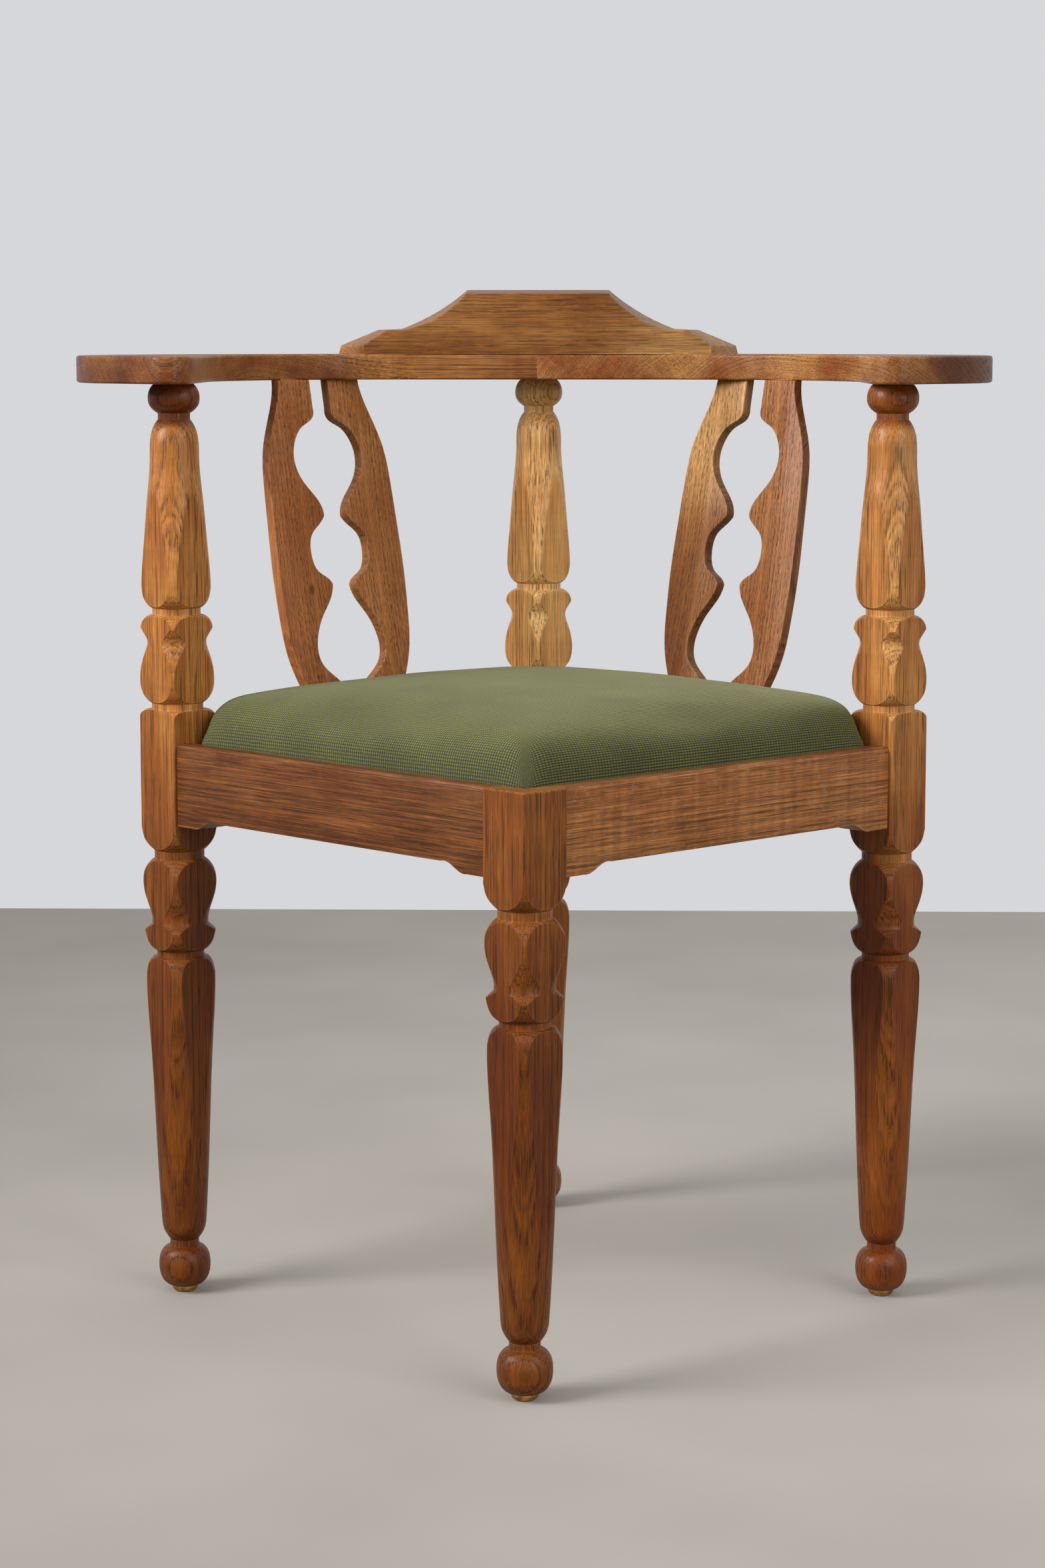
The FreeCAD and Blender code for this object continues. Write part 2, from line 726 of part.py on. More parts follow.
dowels = []
for number in range(2):
    dowel = doc.addObject("Part::Cylinder", "seam_dowel")
    dowel.setExpression("Radius", "Sizes.dowel_radius")
    dowel.setExpression("Height", "Sizes.dowel_length")
    depth = arm_inner_back + size("dowel_setback") + number * size("dowel_pitch")
    middle = arm_underside + size("arm_thickness") / 2
    dowel.Placement = Placement(Vector(-size("dowel_length") / 2, depth, middle), pointing(Vector(1, 0, 0)))
    dowels.append(dowel)
arm_dowels = doc.addObject("Part::Compound", "arm_dowels")
arm_dowels.Links = dowels
doc.recompute()

for name in rail_turns:
    let_in = [corner_block_screws]
    if name == "back_left":
        let_in += splats["left"]
    if name == "back_right":
        let_in += splats["right"]
    cut_to_fit(name + "_rail", make_rail(name), let_in)
for side, sign in (("left", -1), ("right", 1)):
    cut_to_fit(side + "_arm", make_arm(sign), [arm_dowels, crest_screws] + splats[side])
cut_to_fit("crest_rail", make_crest(), [crest_screws])
for corner in corners:
    bores = counterbores(corner + "_counterbore", block_places[corner])
    cut_to_fit(corner + "_corner_block", make_corner_block(corner), [corner_block_screws] + bores)
keep(arm_dowels, "arm_dowels")
keep(crest_screws, "crest_screws")
keep(corner_block_screws, "corner_block_screws")


# Drop-in seat. It is drawn in the axes of the seat square and then turned: the front leg is
# at +x, -y there, and the three posts stand in the other corners, where the seat is notched.
post_corners = [(1, 1), (-1, 1), (-1, -1)]
seat_base = ledge + size("seat_clearance")
seat_half = rim_inner - size("seat_gap")
seat_notch = rail_shoulder - size("seat_gap")
bar_half = seat_half - size("cloth")
bar_notch = seat_notch - size("cloth")
bar_bottom = seat_base + size("cloth")
bar_top = bar_bottom + size("seat_bar_thickness")
bar_level = "Sizes.rail_top - Sizes.rebate_depth + Sizes.seat_clearance + Sizes.cloth"


def in_seat(x, y, height, direction):
    # A place in the seat's own axes, as it lies in the chair.
    point = square_turn.multVec(Vector(x, y, height))
    return Placement(point, pointing(direction))


def strap_tacks(number):
    # The tacks at both ends of the two straps of that number, one in each layer.
    reach = bar_half - size("web_end") - size("web_tack_setback")
    top = bar_top + size("web_thickness")
    places = []
    for end in (-reach, reach):
        for step in (-1, 0, 1):
            side = number * size("web_pitch") + step * size("web_tack_pitch")
            places += [in_seat(end, side, top, Vector(0, 0, -1)), in_seat(side, end, top, Vector(0, 0, -1))]
    return places


tack_pattern = make_tack()
tack_line = seat_half - size("tack_setback")
cover_places = []
# Seven tacks on a side, clear of the corner blocks under the seat.
for step in range(-3, 4):
    along = step * size("tack_pitch")
    for x, y in ((along, -tack_line), (along, tack_line), (-tack_line, along), (tack_line, along)):
        cover_places.append(in_seat(x, y, seat_base, Vector(0, 0, 1)))
cover_tacks = placed_group("cover_tacks", tack_pattern, cover_places)
web_places = strap_tacks(-1) + strap_tacks(0) + strap_tacks(1)
webbing_tacks = placed_group("webbing_tacks", tack_pattern, web_places)


def seat_plan(half, notch):
    return lines([(half, -half), (half, notch), (notch, notch), (notch, half), (-notch, half),
                  (-notch, notch), (-half, notch), (-half, -notch), (-notch, -notch), (-notch, -half)])


def seat_form(name, inset, bottom):
    # The cushion: sides that bulge over the rim and draw in to a low domed top.
    body = doc.addObject("PartDesign::Body", name + "_sides")
    bulge = size("seat_bulge")
    high = size("seat_crown") + 2 * size("cloth")
    step = (high - rail_top) / 3
    levels = [(bottom, 0), (rail_top + over, 0), (rail_top + step, bulge), (rail_top + 2 * step, -bulge),
              (high, -(seat_half - seat_notch) + over)]
    sections = []
    for height, swell in levels:
        outline = seat_plan(seat_half + swell - inset, seat_notch - inset)
        section = add_sketch(body, "section", "XY_Plane", outline)
        section.AttachmentOffset = Placement(Vector(0, 0, height), Rotation())
        sections.append(section)
    loft = body.newObject("PartDesign::AdditiveLoft", "Loft")
    loft.Profile = sections[0]
    loft.Sections = sections[1:]
    loft.Ruled = True
    doc.recompute()
    rise = size("seat_crown_rise")
    radius = (seat_half ** 2 + rise ** 2) / (2 * rise)
    dome = doc.addObject("Part::Sphere", name + "_dome")
    dome.Radius = radius
    dome.Placement = Placement(Vector(0, 0, size("seat_crown") - inset - radius), Rotation())
    form = doc.addObject("Part::Common", name)
    form.Base = body
    form.Tool = dome
    doc.recompute()
    return form


def make_seat_cover():
    # A skin over the stuffing and round the bars, with its lip turned in under them.
    outside = seat_form("cover_outside", 0.0, seat_base)
    inside = seat_form("cover_inside", size("cloth"), bar_bottom)
    opening_half = seat_half - size("seat_lip")
    opening = doc.addObject("Part::Box", "cover_opening")
    opening.Length = 2 * opening_half
    opening.Width = 2 * opening_half
    opening.Height = 2 * over + 2 * size("cloth")
    opening.Placement = Placement(Vector(-opening_half, -opening_half, seat_base - over), Rotation())
    removed = doc.addObject("Part::MultiFuse", "cover_room")
    removed.Shapes = [inside, opening]
    cover = doc.addObject("Part::Cut", "cover")
    cover.Base = outside
    cover.Tool = removed
    doc.recompute()
    cover.Placement = square_turn
    cut_to_fit("seat_cover", cover, [cover_tacks])


def make_seat_foam():
    foam = seat_form("foam", size("cloth"), bar_top + 2 * size("web_thickness"))
    foam.Placement = square_turn
    keep(foam, "seat_foam")


def make_seat_bar(name, runs_along_x, side):
    # A bar with a half-lap at each end. The bars along x keep their upper halves there.
    body = doc.addObject("PartDesign::Body", name + "_bar")
    inner = bar_half - size("seat_bar_width")
    past = bar_half + over

    def oriented(x0, y0, x1, y1):
        if runs_along_x:
            return rectangle(x0, y0, x1, y1)
        return rectangle(y0, x0, y1, x1)

    plan = oriented(-bar_half, side * inner, bar_half, side * bar_half)
    add_pad(body, add_sketch(body, "plan", "XY_Plane", plan, bar_level), "Sizes.seat_bar_thickness")
    laps = [geometry for end in (-1, 1)
            for geometry in oriented(end * inner, side * (inner - over), end * past, side * past)]
    lap_level = bar_level if runs_along_x else bar_level + " + Sizes.seat_bar_thickness"
    lap = add_sketch(body, "laps", "XY_Plane", laps, lap_level)
    add_pocket(body, lap, "Sizes.seat_bar_thickness / 2", reverse=runs_along_x)
    for end in (-1, 1):
        x, y = (end, side) if runs_along_x else (side, end)
        if (x, y) in post_corners:
            corner = rectangle(x * bar_notch, y * bar_notch, x * past, y * past)
            notch = add_sketch(body, "notch", "XY_Plane", corner, bar_level)
            add_pocket(body, notch, "Sizes.seat_bar_thickness", reverse=True)
    body.Placement = square_turn
    cut_to_fit(name, body, [cover_tacks, webbing_tacks])


def make_webbing():
    # Three straps each way, tacked on the bars. One set lies flat and the other set passes
    # over and under it in turn. The heads of the tacks are driven flush.
    thick = size("web_thickness")
    half_wide = size("web_width") / 2
    pitch = size("web_pitch")
    end = bar_half - size("web_end")
    bar_edge = bar_half - size("seat_bar_width")
    flat_straps = []
    woven_straps = []
    for number in (-1, 0, 1):
        strap = doc.addObject("Part::Box", "flat_strap")
        strap.Length = 2 * end
        strap.setExpression("Width", "Sizes.web_width")
        strap.setExpression("Height", "Sizes.web_thickness")
        strap.Placement = Placement(Vector(-end, number * pitch - half_wide, bar_top), Rotation())
        flat_straps.append(strap)
        line = [(-end, bar_top), (-bar_edge, bar_top)]
        for crossing in (-1, 0, 1):
            passes_over = (crossing + number) % 2 == 0
            level = bar_top + thick if passes_over else bar_top - thick
            reach = half_wide + 2 * thick
            line += [(crossing * pitch - reach, level), (crossing * pitch + reach, level)]
        line += [(bar_edge, bar_top), (end, bar_top)]
        raised = [(along, height + thick) for along, height in reversed(line)]
        body = doc.addObject("PartDesign::Body", "woven_strap")
        side_view = add_sketch(body, "side_view", "YZ_Plane", lines(line + raised))
        side_view.AttachmentOffset = Placement(Vector(0, 0, number * pitch), Rotation())
        add_pad(body, side_view, "Sizes.web_width", both_sides=True)
        woven_straps.append(body)
    for label, straps in (("webbing_across", flat_straps), ("webbing_along", woven_straps)):
        node = doc.addObject("Part::Compound", label + "_straps")
        node.Links = straps
        node.Placement = square_turn
        cut_to_fit(label, node, [webbing_tacks])


make_seat_bar("seat_bar_front_left", True, -1)
make_seat_bar("seat_bar_back_right", True, 1)
make_seat_bar("seat_bar_front_right", False, 1)
make_seat_bar("seat_bar_back_left", False, -1)
make_webbing()
make_seat_foam()
make_seat_cover()
keep(cover_tacks, "cover_tacks")
keep(webbing_tacks, "webbing_tacks")
doc.recompute()

# Nothing is written unless every object worked and every piece is a sound solid.
for thing in doc.Objects:
    if "Invalid" in thing.State or "Error" in thing.State:
        raise RuntimeError("%s failed" % thing.Label)
for thing in kept:
    shape = thing.Shape
    if shape.isNull() or not shape.isValid() or not shape.Solids:
        raise RuntimeError("%s has no sound shape" % thing.Label)
    shape.exportStep("parts/%s.step" % thing.Label)
    print("%-24s %2d solid(s) %10.0f mm3" % (thing.Label, len(shape.Solids), shape.Volume))
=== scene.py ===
import math

import bpy
import numpy as np
from mathutils import Euler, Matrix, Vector


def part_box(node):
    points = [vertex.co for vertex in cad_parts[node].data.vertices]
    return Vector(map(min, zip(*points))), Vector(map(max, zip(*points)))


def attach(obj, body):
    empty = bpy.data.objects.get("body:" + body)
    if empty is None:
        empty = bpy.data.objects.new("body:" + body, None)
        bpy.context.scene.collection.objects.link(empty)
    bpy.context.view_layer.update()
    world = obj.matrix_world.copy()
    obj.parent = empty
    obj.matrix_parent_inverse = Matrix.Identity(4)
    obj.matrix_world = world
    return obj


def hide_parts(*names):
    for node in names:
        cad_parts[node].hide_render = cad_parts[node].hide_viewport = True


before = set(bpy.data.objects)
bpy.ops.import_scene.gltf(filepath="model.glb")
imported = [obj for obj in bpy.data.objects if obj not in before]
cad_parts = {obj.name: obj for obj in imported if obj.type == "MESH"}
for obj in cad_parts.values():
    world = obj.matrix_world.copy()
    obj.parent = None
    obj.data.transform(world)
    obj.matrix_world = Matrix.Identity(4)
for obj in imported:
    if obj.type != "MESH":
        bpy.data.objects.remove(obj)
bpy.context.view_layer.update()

# Corner chair in oak with a green drop-in seat. Metres, +Z up, the front leg towards -Y.
mm = 0.001

# Camera at the photograph's place, at the height of the arms, looking slightly down.
cameraView = {
    "place": (0.0494, -2.6109, 0.7437),
    "tilt": 82.543,
    "swing": 1.251,
    "lens": 78.57,
}


def makeCamera(view):
    bpy.ops.object.camera_add(location=view["place"],
                              rotation=(math.radians(view["tilt"]), 0, math.radians(view["swing"])))
    camera = bpy.context.object
    camera.name = "photoCamera"
    camera.data.lens = view["lens"]
    camera.data.sensor_width = 36
    bpy.context.scene.camera = camera


makeCamera(cameraView)
print("camera placed")


# Helpers shared by the materials and the pieces.
def linearColour(hexText):
    channels = [int(hexText[i:i + 2], 16) / 255 for i in (0, 2, 4)]
    return [c / 12.92 if c <= 0.04045 else ((c + 0.055) / 1.055) ** 2.4 for c in channels] + [1]


def addNode(material, kind, settings=None, inputs=None):
    node = material.node_tree.nodes.new("ShaderNode" + kind)
    for name, value in (settings or {}).items():
        setattr(node, name, value)
    for socket, value in (inputs or {}).items():
        if isinstance(value, bpy.types.NodeSocket):
            material.node_tree.links.new(value, node.inputs[socket])
        else:
            node.inputs[socket].default_value = value
    return node


def startMaterial(name):
    material = bpy.data.materials.new(name)
    material.use_nodes = True
    return material, material.node_tree.nodes["Principled BSDF"]


def link(material, output, socket):
    material.node_tree.links.new(output, socket)


def rampColours(material, factor, stops):
    ramp = addNode(material, "ValToRGB", inputs={"Fac": factor})
    marks = ramp.color_ramp.elements
    while len(marks) < len(stops):
        marks.new(0.5)
    for mark, (position, hexText) in zip(marks, stops):
        mark.position = position
        mark.color = linearColour(hexText)
    return ramp.outputs["Color"]


def workOn(piece):
    bpy.ops.object.select_all(action="DESELECT")
    piece.select_set(True)
    bpy.context.view_layer.objects.active = piece


def editAll(piece):
    workOn(piece)
    bpy.ops.object.mode_set(mode="EDIT")
    bpy.ops.mesh.select_all(action="SELECT")


def applyModifier(piece, kind, **settings):
    workOn(piece)
    modifier = piece.modifiers.new(kind.title(), kind)
    for name, value in settings.items():
        setattr(modifier, name, value)
    bpy.ops.object.modifier_apply(modifier=modifier.name)


def readPoints(piece):
    points = np.empty(len(piece.data.vertices) * 3, np.float32)
    piece.data.vertices.foreach_get("co", points)
    return points.reshape(-1, 3)


def writePoints(piece, points):
    piece.data.vertices.foreach_set("co", points.astype(np.float32).ravel())
    piece.data.update()


# Turns that lay the grain, which runs along a board's own Z, along the piece.
grainTurns = {
    "up": (0, 0, 0),
    "x": (0, math.radians(90), 0),
    "y": (math.radians(-90), 0, 0),
    "leftToFront": (0, math.radians(90), math.radians(-45)),
    "frontToRight": (0, math.radians(90), math.radians(45)),
}


# Oak: ring porous, so each ring starts with a band of open pores that the old wax and
# polish have turned dark, and rays show as flecks that shine. "heart" is the middle of the
# tree, from the piece's own middle, and it sets how the rings cross the faces.
def growRings(material, look, grain):
    # How the trunk wanders: the rings wave slowly along the grain.
    slow = addNode(material, "VectorMath", {"operation": "MULTIPLY"},
                   {0: grain, 1: (1, 1, look["bowStretch"])})
    wander = addNode(material, "TexNoise", inputs={
        "Vector": slow.outputs["Vector"], "Scale": 14, "Detail": 1.5, "Roughness": 0.4})
    bow = addNode(material, "MapRange", {"clamp": False}, {
        "Value": wander.outputs["Fac"], "To Min": -look["bow"] * mm, "To Max": look["bow"] * mm})
    across = addNode(material, "VectorMath", {"operation": "MULTIPLY"}, {0: grain, 1: (1, 1, 0)})
    radius = addNode(material, "VectorMath", {"operation": "LENGTH"}, {0: across.outputs["Vector"]})
    grown = addNode(material, "Math", {"operation": "ADD"},
                    {0: radius.outputs["Value"], 1: bow.outputs["Result"]})
    # Good and poor years: the rings are not evenly wide.
    years = addNode(material, "TexNoise", {"noise_dimensions": "1D"},
                    {"W": grown.outputs["Value"], "Scale": 170, "Detail": 2, "Roughness": 0.6})
    uneven = addNode(material, "Math", {"operation": "MULTIPLY_ADD"},
                     {0: years.outputs["Fac"], 1: look["uneven"] * mm, 2: grown.outputs["Value"]})
    rings = addNode(material, "Math", {"operation": "MULTIPLY"},
                    {0: uneven.outputs["Value"], 1: 1 / (look["ring"] * mm)})
    year = addNode(material, "Math", {"operation": "FRACT"}, {0: rings.outputs["Value"]})
    return radius.outputs["Value"], year.outputs["Value"]


# Pores lie mostly in the early wood. They are about 0.3 mm wide in the real wood and drawn
# 0.9 mm wide so that they show.
def drawPores(material, look, grain, year):
    width = 0.9 * mm
    length = look["poreLength"] * mm
    space = addNode(material, "VectorMath", {"operation": "MULTIPLY"},
                    {0: grain, 1: (1 / width, 1 / width, 1 / length)})
    noise = addNode(material, "TexNoise", inputs={
        "Vector": space.outputs["Vector"], "Scale": 1, "Detail": 1, "Roughness": 0.4})
    spots = addNode(material, "MapRange", {"interpolation_type": "SMOOTHSTEP"},
                    {"Value": noise.outputs["Fac"], "From Min": 0.46, "From Max": 0.60})
    early = addNode(material, "MapRange", {"interpolation_type": "SMOOTHSTEP"},
                    {"Value": year, "From Min": 0.55, "From Max": 0.15, "To Min": 0.22, "To Max": 1.0})
    pores = addNode(material, "Math", {"operation": "MULTIPLY"},
                    {0: spots.outputs["Result"], 1: early.outputs["Result"]})
    return pores.outputs["Value"]


# Rays run from the heart outwards: thin ticks on a face cut across them, wide flecks on a
# face cut along them.
def drawRays(material, look, grain, radius):
    width, height, depth = 0.9 * mm, 6 * mm, 14 * mm
    heartReach = math.hypot(*look["reach"]) * mm
    parts = addNode(material, "SeparateXYZ", inputs={"Vector": grain})
    angle = addNode(material, "Math", {"operation": "ARCTAN2"},
                    {0: parts.outputs["Y"], 1: parts.outputs["X"]})
    across = addNode(material, "Math", {"operation": "MULTIPLY"},
                     {0: angle.outputs["Value"], 1: heartReach / width})
    out = addNode(material, "Math", {"operation": "MULTIPLY"}, {0: radius, 1: 1 / depth})
    up = addNode(material, "Math", {"operation": "MULTIPLY"}, {0: parts.outputs["Z"], 1: 1 / height})
    space = addNode(material, "CombineXYZ", inputs={
        "X": across.outputs["Value"], "Y": out.outputs["Value"], "Z": up.outputs["Value"]})
    noise = addNode(material, "TexNoise", inputs={
        "Vector": space.outputs["Vector"], "Scale": 1, "Detail": 1, "Roughness": 0.5})
    rays = addNode(material, "MapRange", {"interpolation_type": "SMOOTHSTEP"},
                   {"Value": noise.outputs["Fac"], "From Min": 0.56, "From Max": 0.70,
                    "To Min": 0, "To Max": look["rays"]})
    return rays.outputs["Result"]


# Tone: the ring's own change from early to late wood, fibres a millimetre wide, and curly
# figure, which is soft bands across the grain, 5 to 10 mm apart as in the real boards.
def shadeGrain(material, look, grain, year):
    late = addNode(material, "Math", {"operation": "PINGPONG"}, {0: year, 1: 0.5})
    ringShade = addNode(material, "MapRange", {"interpolation_type": "SMOOTHSTEP"},
                        {"Value": late.outputs["Value"], "From Max": 0.5,
                         "To Min": 1 - look["rings"], "To Max": 1 + 0.5 * look["rings"]})
    fibreSpace = addNode(material, "VectorMath", {"operation": "MULTIPLY"},
                         {0: grain, 1: (1100, 1100, 28)})
    fibre = addNode(material, "TexNoise", inputs={
        "Vector": fibreSpace.outputs["Vector"], "Scale": 1, "Detail": 3, "Roughness": 0.65})
    fibreShade = addNode(material, "MapRange", inputs={
        "Value": fibre.outputs["Fac"], "From Min": 0.3, "From Max": 0.7,
        "To Min": 1 - look["fibre"], "To Max": 1 + look["fibre"]})
    curlSpace = addNode(material, "VectorMath", {"operation": "MULTIPLY"}, {0: grain, 1: (9, 9, 130)})
    curl = addNode(material, "TexNoise", inputs={
        "Vector": curlSpace.outputs["Vector"], "Scale": 1, "Detail": 1})
    curlShade = addNode(material, "MapRange", inputs={
        "Value": curl.outputs["Fac"], "From Min": 0.35, "From Max": 0.65,
        "To Min": 1 - look["curl"], "To Max": 1 + look["curl"]})
    figure = addNode(material, "Math", {"operation": "MULTIPLY"},
                     {0: ringShade.outputs["Result"], 1: curlShade.outputs["Result"]})
    streaks = addNode(material, "Math", {"operation": "MULTIPLY"},
                      {0: fibreShade.outputs["Result"], 1: figure.outputs["Value"]})
    return fibreShade.outputs["Result"], streaks.outputs["Value"]


# One end has darkened: where hands hold an arm, or where the sapwood stops. On the side posts it is painted shade:
# the balls are darkened where the arms above shadow them.
def darkenTip(material, look, place, surface):
    length = addNode(material, "SeparateXYZ", inputs={"Vector": place})
    held = addNode(material, "MapRange", {"interpolation_type": "SMOOTHSTEP"},
                   {"Value": length.outputs[look["tipAxis"]], "From Min": look["tip"][0],
                    "From Max": look["tip"][1]})
    tipTint = addNode(material, "Mix", {"data_type": "RGBA"},
                   {0: held.outputs["Result"], 6: linearColour("ffffff"), 7: linearColour(look["tipStainAndShade"])})
    tipTinted = addNode(material, "VectorMath", {"operation": "MULTIPLY"}, {0: surface, 1: tipTint.outputs[2]})
    return tipTinted.outputs["Vector"]


# A pin knot, longer up the board than across it.
def addKnot(material, look, place, surface):
    spot = addNode(material, "Mapping", {"vector_type": "TEXTURE"},
                   {"Vector": place, "Location": look["knot"], "Scale": (1, 1, 1.8)})
    away = addNode(material, "VectorMath", {"operation": "LENGTH"}, {0: spot.outputs["Vector"]})
    inside = addNode(material, "MapRange", {"interpolation_type": "SMOOTHSTEP"},
                     {"Value": away.outputs["Value"], "From Min": 4 * mm, "From Max": 1 * mm, "To Max": 0.8})
    knotted = addNode(material, "Mix", {"data_type": "RGBA"},
                      {0: inside.outputs["Result"], 6: surface, 7: linearColour(look["pore"])})
    return knotted.outputs[2]


# The legs get darker and redder towards the floor: painted shade, for the light that falls off low down. Where the
# lathe has cut below the planed flats
# they are paler and greyer: partly the stain has taken less there, partly a painted sheen of the turned surfaces.
def shadeFootAndPaleTurnings(material, look, place, surface):
    height = addNode(material, "SeparateXYZ", inputs={"Vector": place})
    # Painted shade: darker and redder towards the floor.
    lift = addNode(material, "MapRange", {"interpolation_type": "SMOOTHSTEP"},
                   {"Value": height.outputs["Z"], "From Min": 0.24, "From Max": look["footShadeTop"]})
    footShade = addNode(material, "Mix", {"data_type": "RGBA"},
                    {0: lift.outputs["Result"], 6: linearColour(look["footShade"]), 7: linearColour("ffffff")})
    footShaded = addNode(material, "VectorMath", {"operation": "MULTIPLY"}, {0: surface, 1: footShade.outputs[2]})
    square = addNode(material, "Mapping", {"vector_type": "TEXTURE"},
                     {"Vector": place, "Location": look["middlePoint"], "Rotation": (0, 0, math.radians(45))})
    sides = addNode(material, "VectorMath", {"operation": "ABSOLUTE"}, {0: square.outputs["Vector"]})
    reaches = addNode(material, "SeparateXYZ", inputs={"Vector": sides.outputs["Vector"]})
    widest = addNode(material, "Math", {"operation": "MAXIMUM"},
                     {0: reaches.outputs["X"], 1: reaches.outputs["Y"]})
    flat = look["stock"] / 2
    # Turned surfaces paler and greyer: partly less stain, partly a painted sheen.
    turned = addNode(material, "MapRange", {"interpolation_type": "SMOOTHSTEP"},
                     {"Value": widest.outputs["Value"], "From Min": (flat - 0.1) * mm,
                      "From Max": (flat - 1.2) * mm, "To Min": 0, "To Max": look["turned"]})
    lathedPaleAndSheen = addNode(material, "VectorMath", {"operation": "MULTIPLY"},
                     {0: footShaded.outputs["Vector"], 1: (1.28, 1.5, 1.9)})
    lighter = addNode(material, "Mix", {"data_type": "RGBA"},
                      {0: turned.outputs["Result"], 6: footShaded.outputs["Vector"], 7: lathedPaleAndSheen.outputs["Vector"]})
    return lighter.outputs[2]


# Arrises are rubbed pale: found where a small rounding would turn the surface.
def rubArrises(material, look, patch, surface):
    eased = addNode(material, "Bevel", {"samples": 4}, {"Radius": look["wornWidth"] * mm})
    shape = addNode(material, "NewGeometry")
    turn = addNode(material, "VectorMath", {"operation": "DOT_PRODUCT"},
                   {0: eased.outputs["Normal"], 1: shape.outputs["Normal"]})
    arris = addNode(material, "MapRange", {"interpolation_type": "SMOOTHSTEP"},
                    {"Value": turn.outputs["Value"], "From Min": 0.998, "From Max": 0.94})
    rubbed = addNode(material, "MapRange", {"interpolation_type": "SMOOTHSTEP"},
                     {"Value": patch, "From Min": 0.38, "From Max": 0.6,
                      "To Min": 0.25, "To Max": look["worn"]})
    wear = addNode(material, "Math", {"operation": "MULTIPLY"},
                   {0: arris.outputs["Result"], 1: rubbed.outputs["Result"]})
    pale = addNode(material, "VectorMath", {"operation": "MULTIPLY_ADD"},
                   {0: surface, 1: (1.25, 1.3, 1.35), 2: (0.05, 0.035, 0.018)})
    finish = addNode(material, "Mix", {"data_type": "RGBA"},
                     {0: wear.outputs["Value"], 6: surface, 7: pale.outputs["Vector"]})
    return finish.outputs[2]


def makeOak(name, look):
    material, shader = startMaterial(name)
    place = addNode(material, "TexCoord").outputs["Object"]
    board = addNode(material, "Mapping", {"vector_type": "TEXTURE"},
                    {"Vector": place, "Location": look["heart"], "Rotation": grainTurns[look["grain"]]})
    grain = board.outputs["Vector"]
    radius, year = growRings(material, look, grain)
    pores = drawPores(material, look, grain, year)
    rays = drawRays(material, look, grain, radius)
    fibreShade, streaks = shadeGrain(material, look, grain, year)
    # Patches of old finish.
    patchSpace = addNode(material, "VectorMath", {"operation": "MULTIPLY"}, {0: grain, 1: (1, 1, 0.3)})
    patchNoise = addNode(material, "TexNoise", inputs={
        "Vector": patchSpace.outputs["Vector"], "Scale": 26, "Detail": 3, "Roughness": 0.55})
    patch = patchNoise.outputs["Fac"]
    aged = rampColours(material, patch, [(0.36, look["aged"]), (0.62, "ffffff")])
    wood = addNode(material, "VectorMath", {"operation": "SCALE"},
                   {0: linearColour(look["colour"])[:3], "Scale": streaks})
    toned = addNode(material, "VectorMath", {"operation": "MULTIPLY"}, {0: wood.outputs["Vector"], 1: aged})
    flecked = addNode(material, "Mix", {"data_type": "RGBA"},
                      {0: rays, 6: toned.outputs["Vector"], 7: linearColour(look["fleck"])})
    poreDepth = addNode(material, "Math", {"operation": "MULTIPLY"}, {0: pores, 1: look["pores"]})
    coloured = addNode(material, "Mix", {"data_type": "RGBA"},
                       {0: poreDepth.outputs["Value"], 6: flecked.outputs[2], 7: linearColour(look["pore"])})
    surface = coloured.outputs[2]
    if look["tip"]:
        surface = darkenTip(material, look, place, surface)
    if look["knot"]:
        surface = addKnot(material, look, place, surface)
    if look["stock"]:
        surface = shadeFootAndPaleTurnings(material, look, place, surface)
    link(material, rubArrises(material, look, patch, surface), shader.inputs["Base Color"])

    # Waxed and rubbed by hand: a satin gloss that is duller in the pores.
    glossSpread = 0.07
    gloss = addNode(material, "MapRange", inputs={
        "Value": patch, "From Min": 0.3, "From Max": 0.7,
        "To Min": look["gloss"] - glossSpread, "To Max": look["gloss"] + glossSpread})
    rough = addNode(material, "Math", {"operation": "MULTIPLY_ADD", "use_clamp": True},
                    {0: pores, 1: 0.3, 2: gloss.outputs["Result"]})
    link(material, rough.outputs["Value"], shader.inputs["Roughness"])
    relief = addNode(material, "Math", {"operation": "MULTIPLY_ADD"}, {0: pores, 1: -1.0, 2: fibreShade})
    bump = addNode(material, "Bump", inputs={
        "Height": relief.outputs["Value"], "Strength": 0.35, "Distance": 0.25 * mm})
    link(material, bump.outputs["Normal"], shader.inputs["Normal"])
    shader.inputs["IOR"].default_value = 1.48
    shader.inputs["Specular IOR Level"].default_value = 0.22
    shader.inputs["Coat Weight"].default_value = 0.1
    shader.inputs["Coat Roughness"].default_value = 0.2
    return material


# One look for each stick or board, so that no two have the same figure. "reach" is how far
# the heart of the tree is from the middle of the piece, in mm along the piece's own X and Y.
oakBase = {
    "grain": "up", "ring": 2.3, "uneven": 8, "rings": 0.18, "curl": 0.04, "fibre": 0.34,
    "bow": 5, "bowStretch": 0.09, "poreLength": 26, "pores": 0.7, "rays": 0.25, "reach": (70, 25),
    "colour": "ae7239", "pore": "4f2b12", "fleck": "c89256", "aged": "e2cfba", "gloss": 0.42,
    "worn": 0.8, "wornWidth": 3.2, "stock": 0, "turned": 0.85, "footShade": "a68b6f", "footShadeTop": 0.5,
    "tip": 0, "tipAxis": "X", "tipStainAndShade": "cbb7c0", "knot": 0,
}
turnedLeg = {"stock": 42, "wornWidth": 1.8, "rays": 0.1}
# Painted shade on the balls of the side posts, for the shadow of the arms over them.
ballShadeUnderArm = {"tipAxis": "Z", "tip": (0.672, 0.682)}
backRail = {"colour": "84522c", "pore": "38200f"}
armBoard = {"bow": 9, "rays": 0.08, "pores": 0.6, "fibre": 0.42}
splatBoard = {"rays": 0.05}
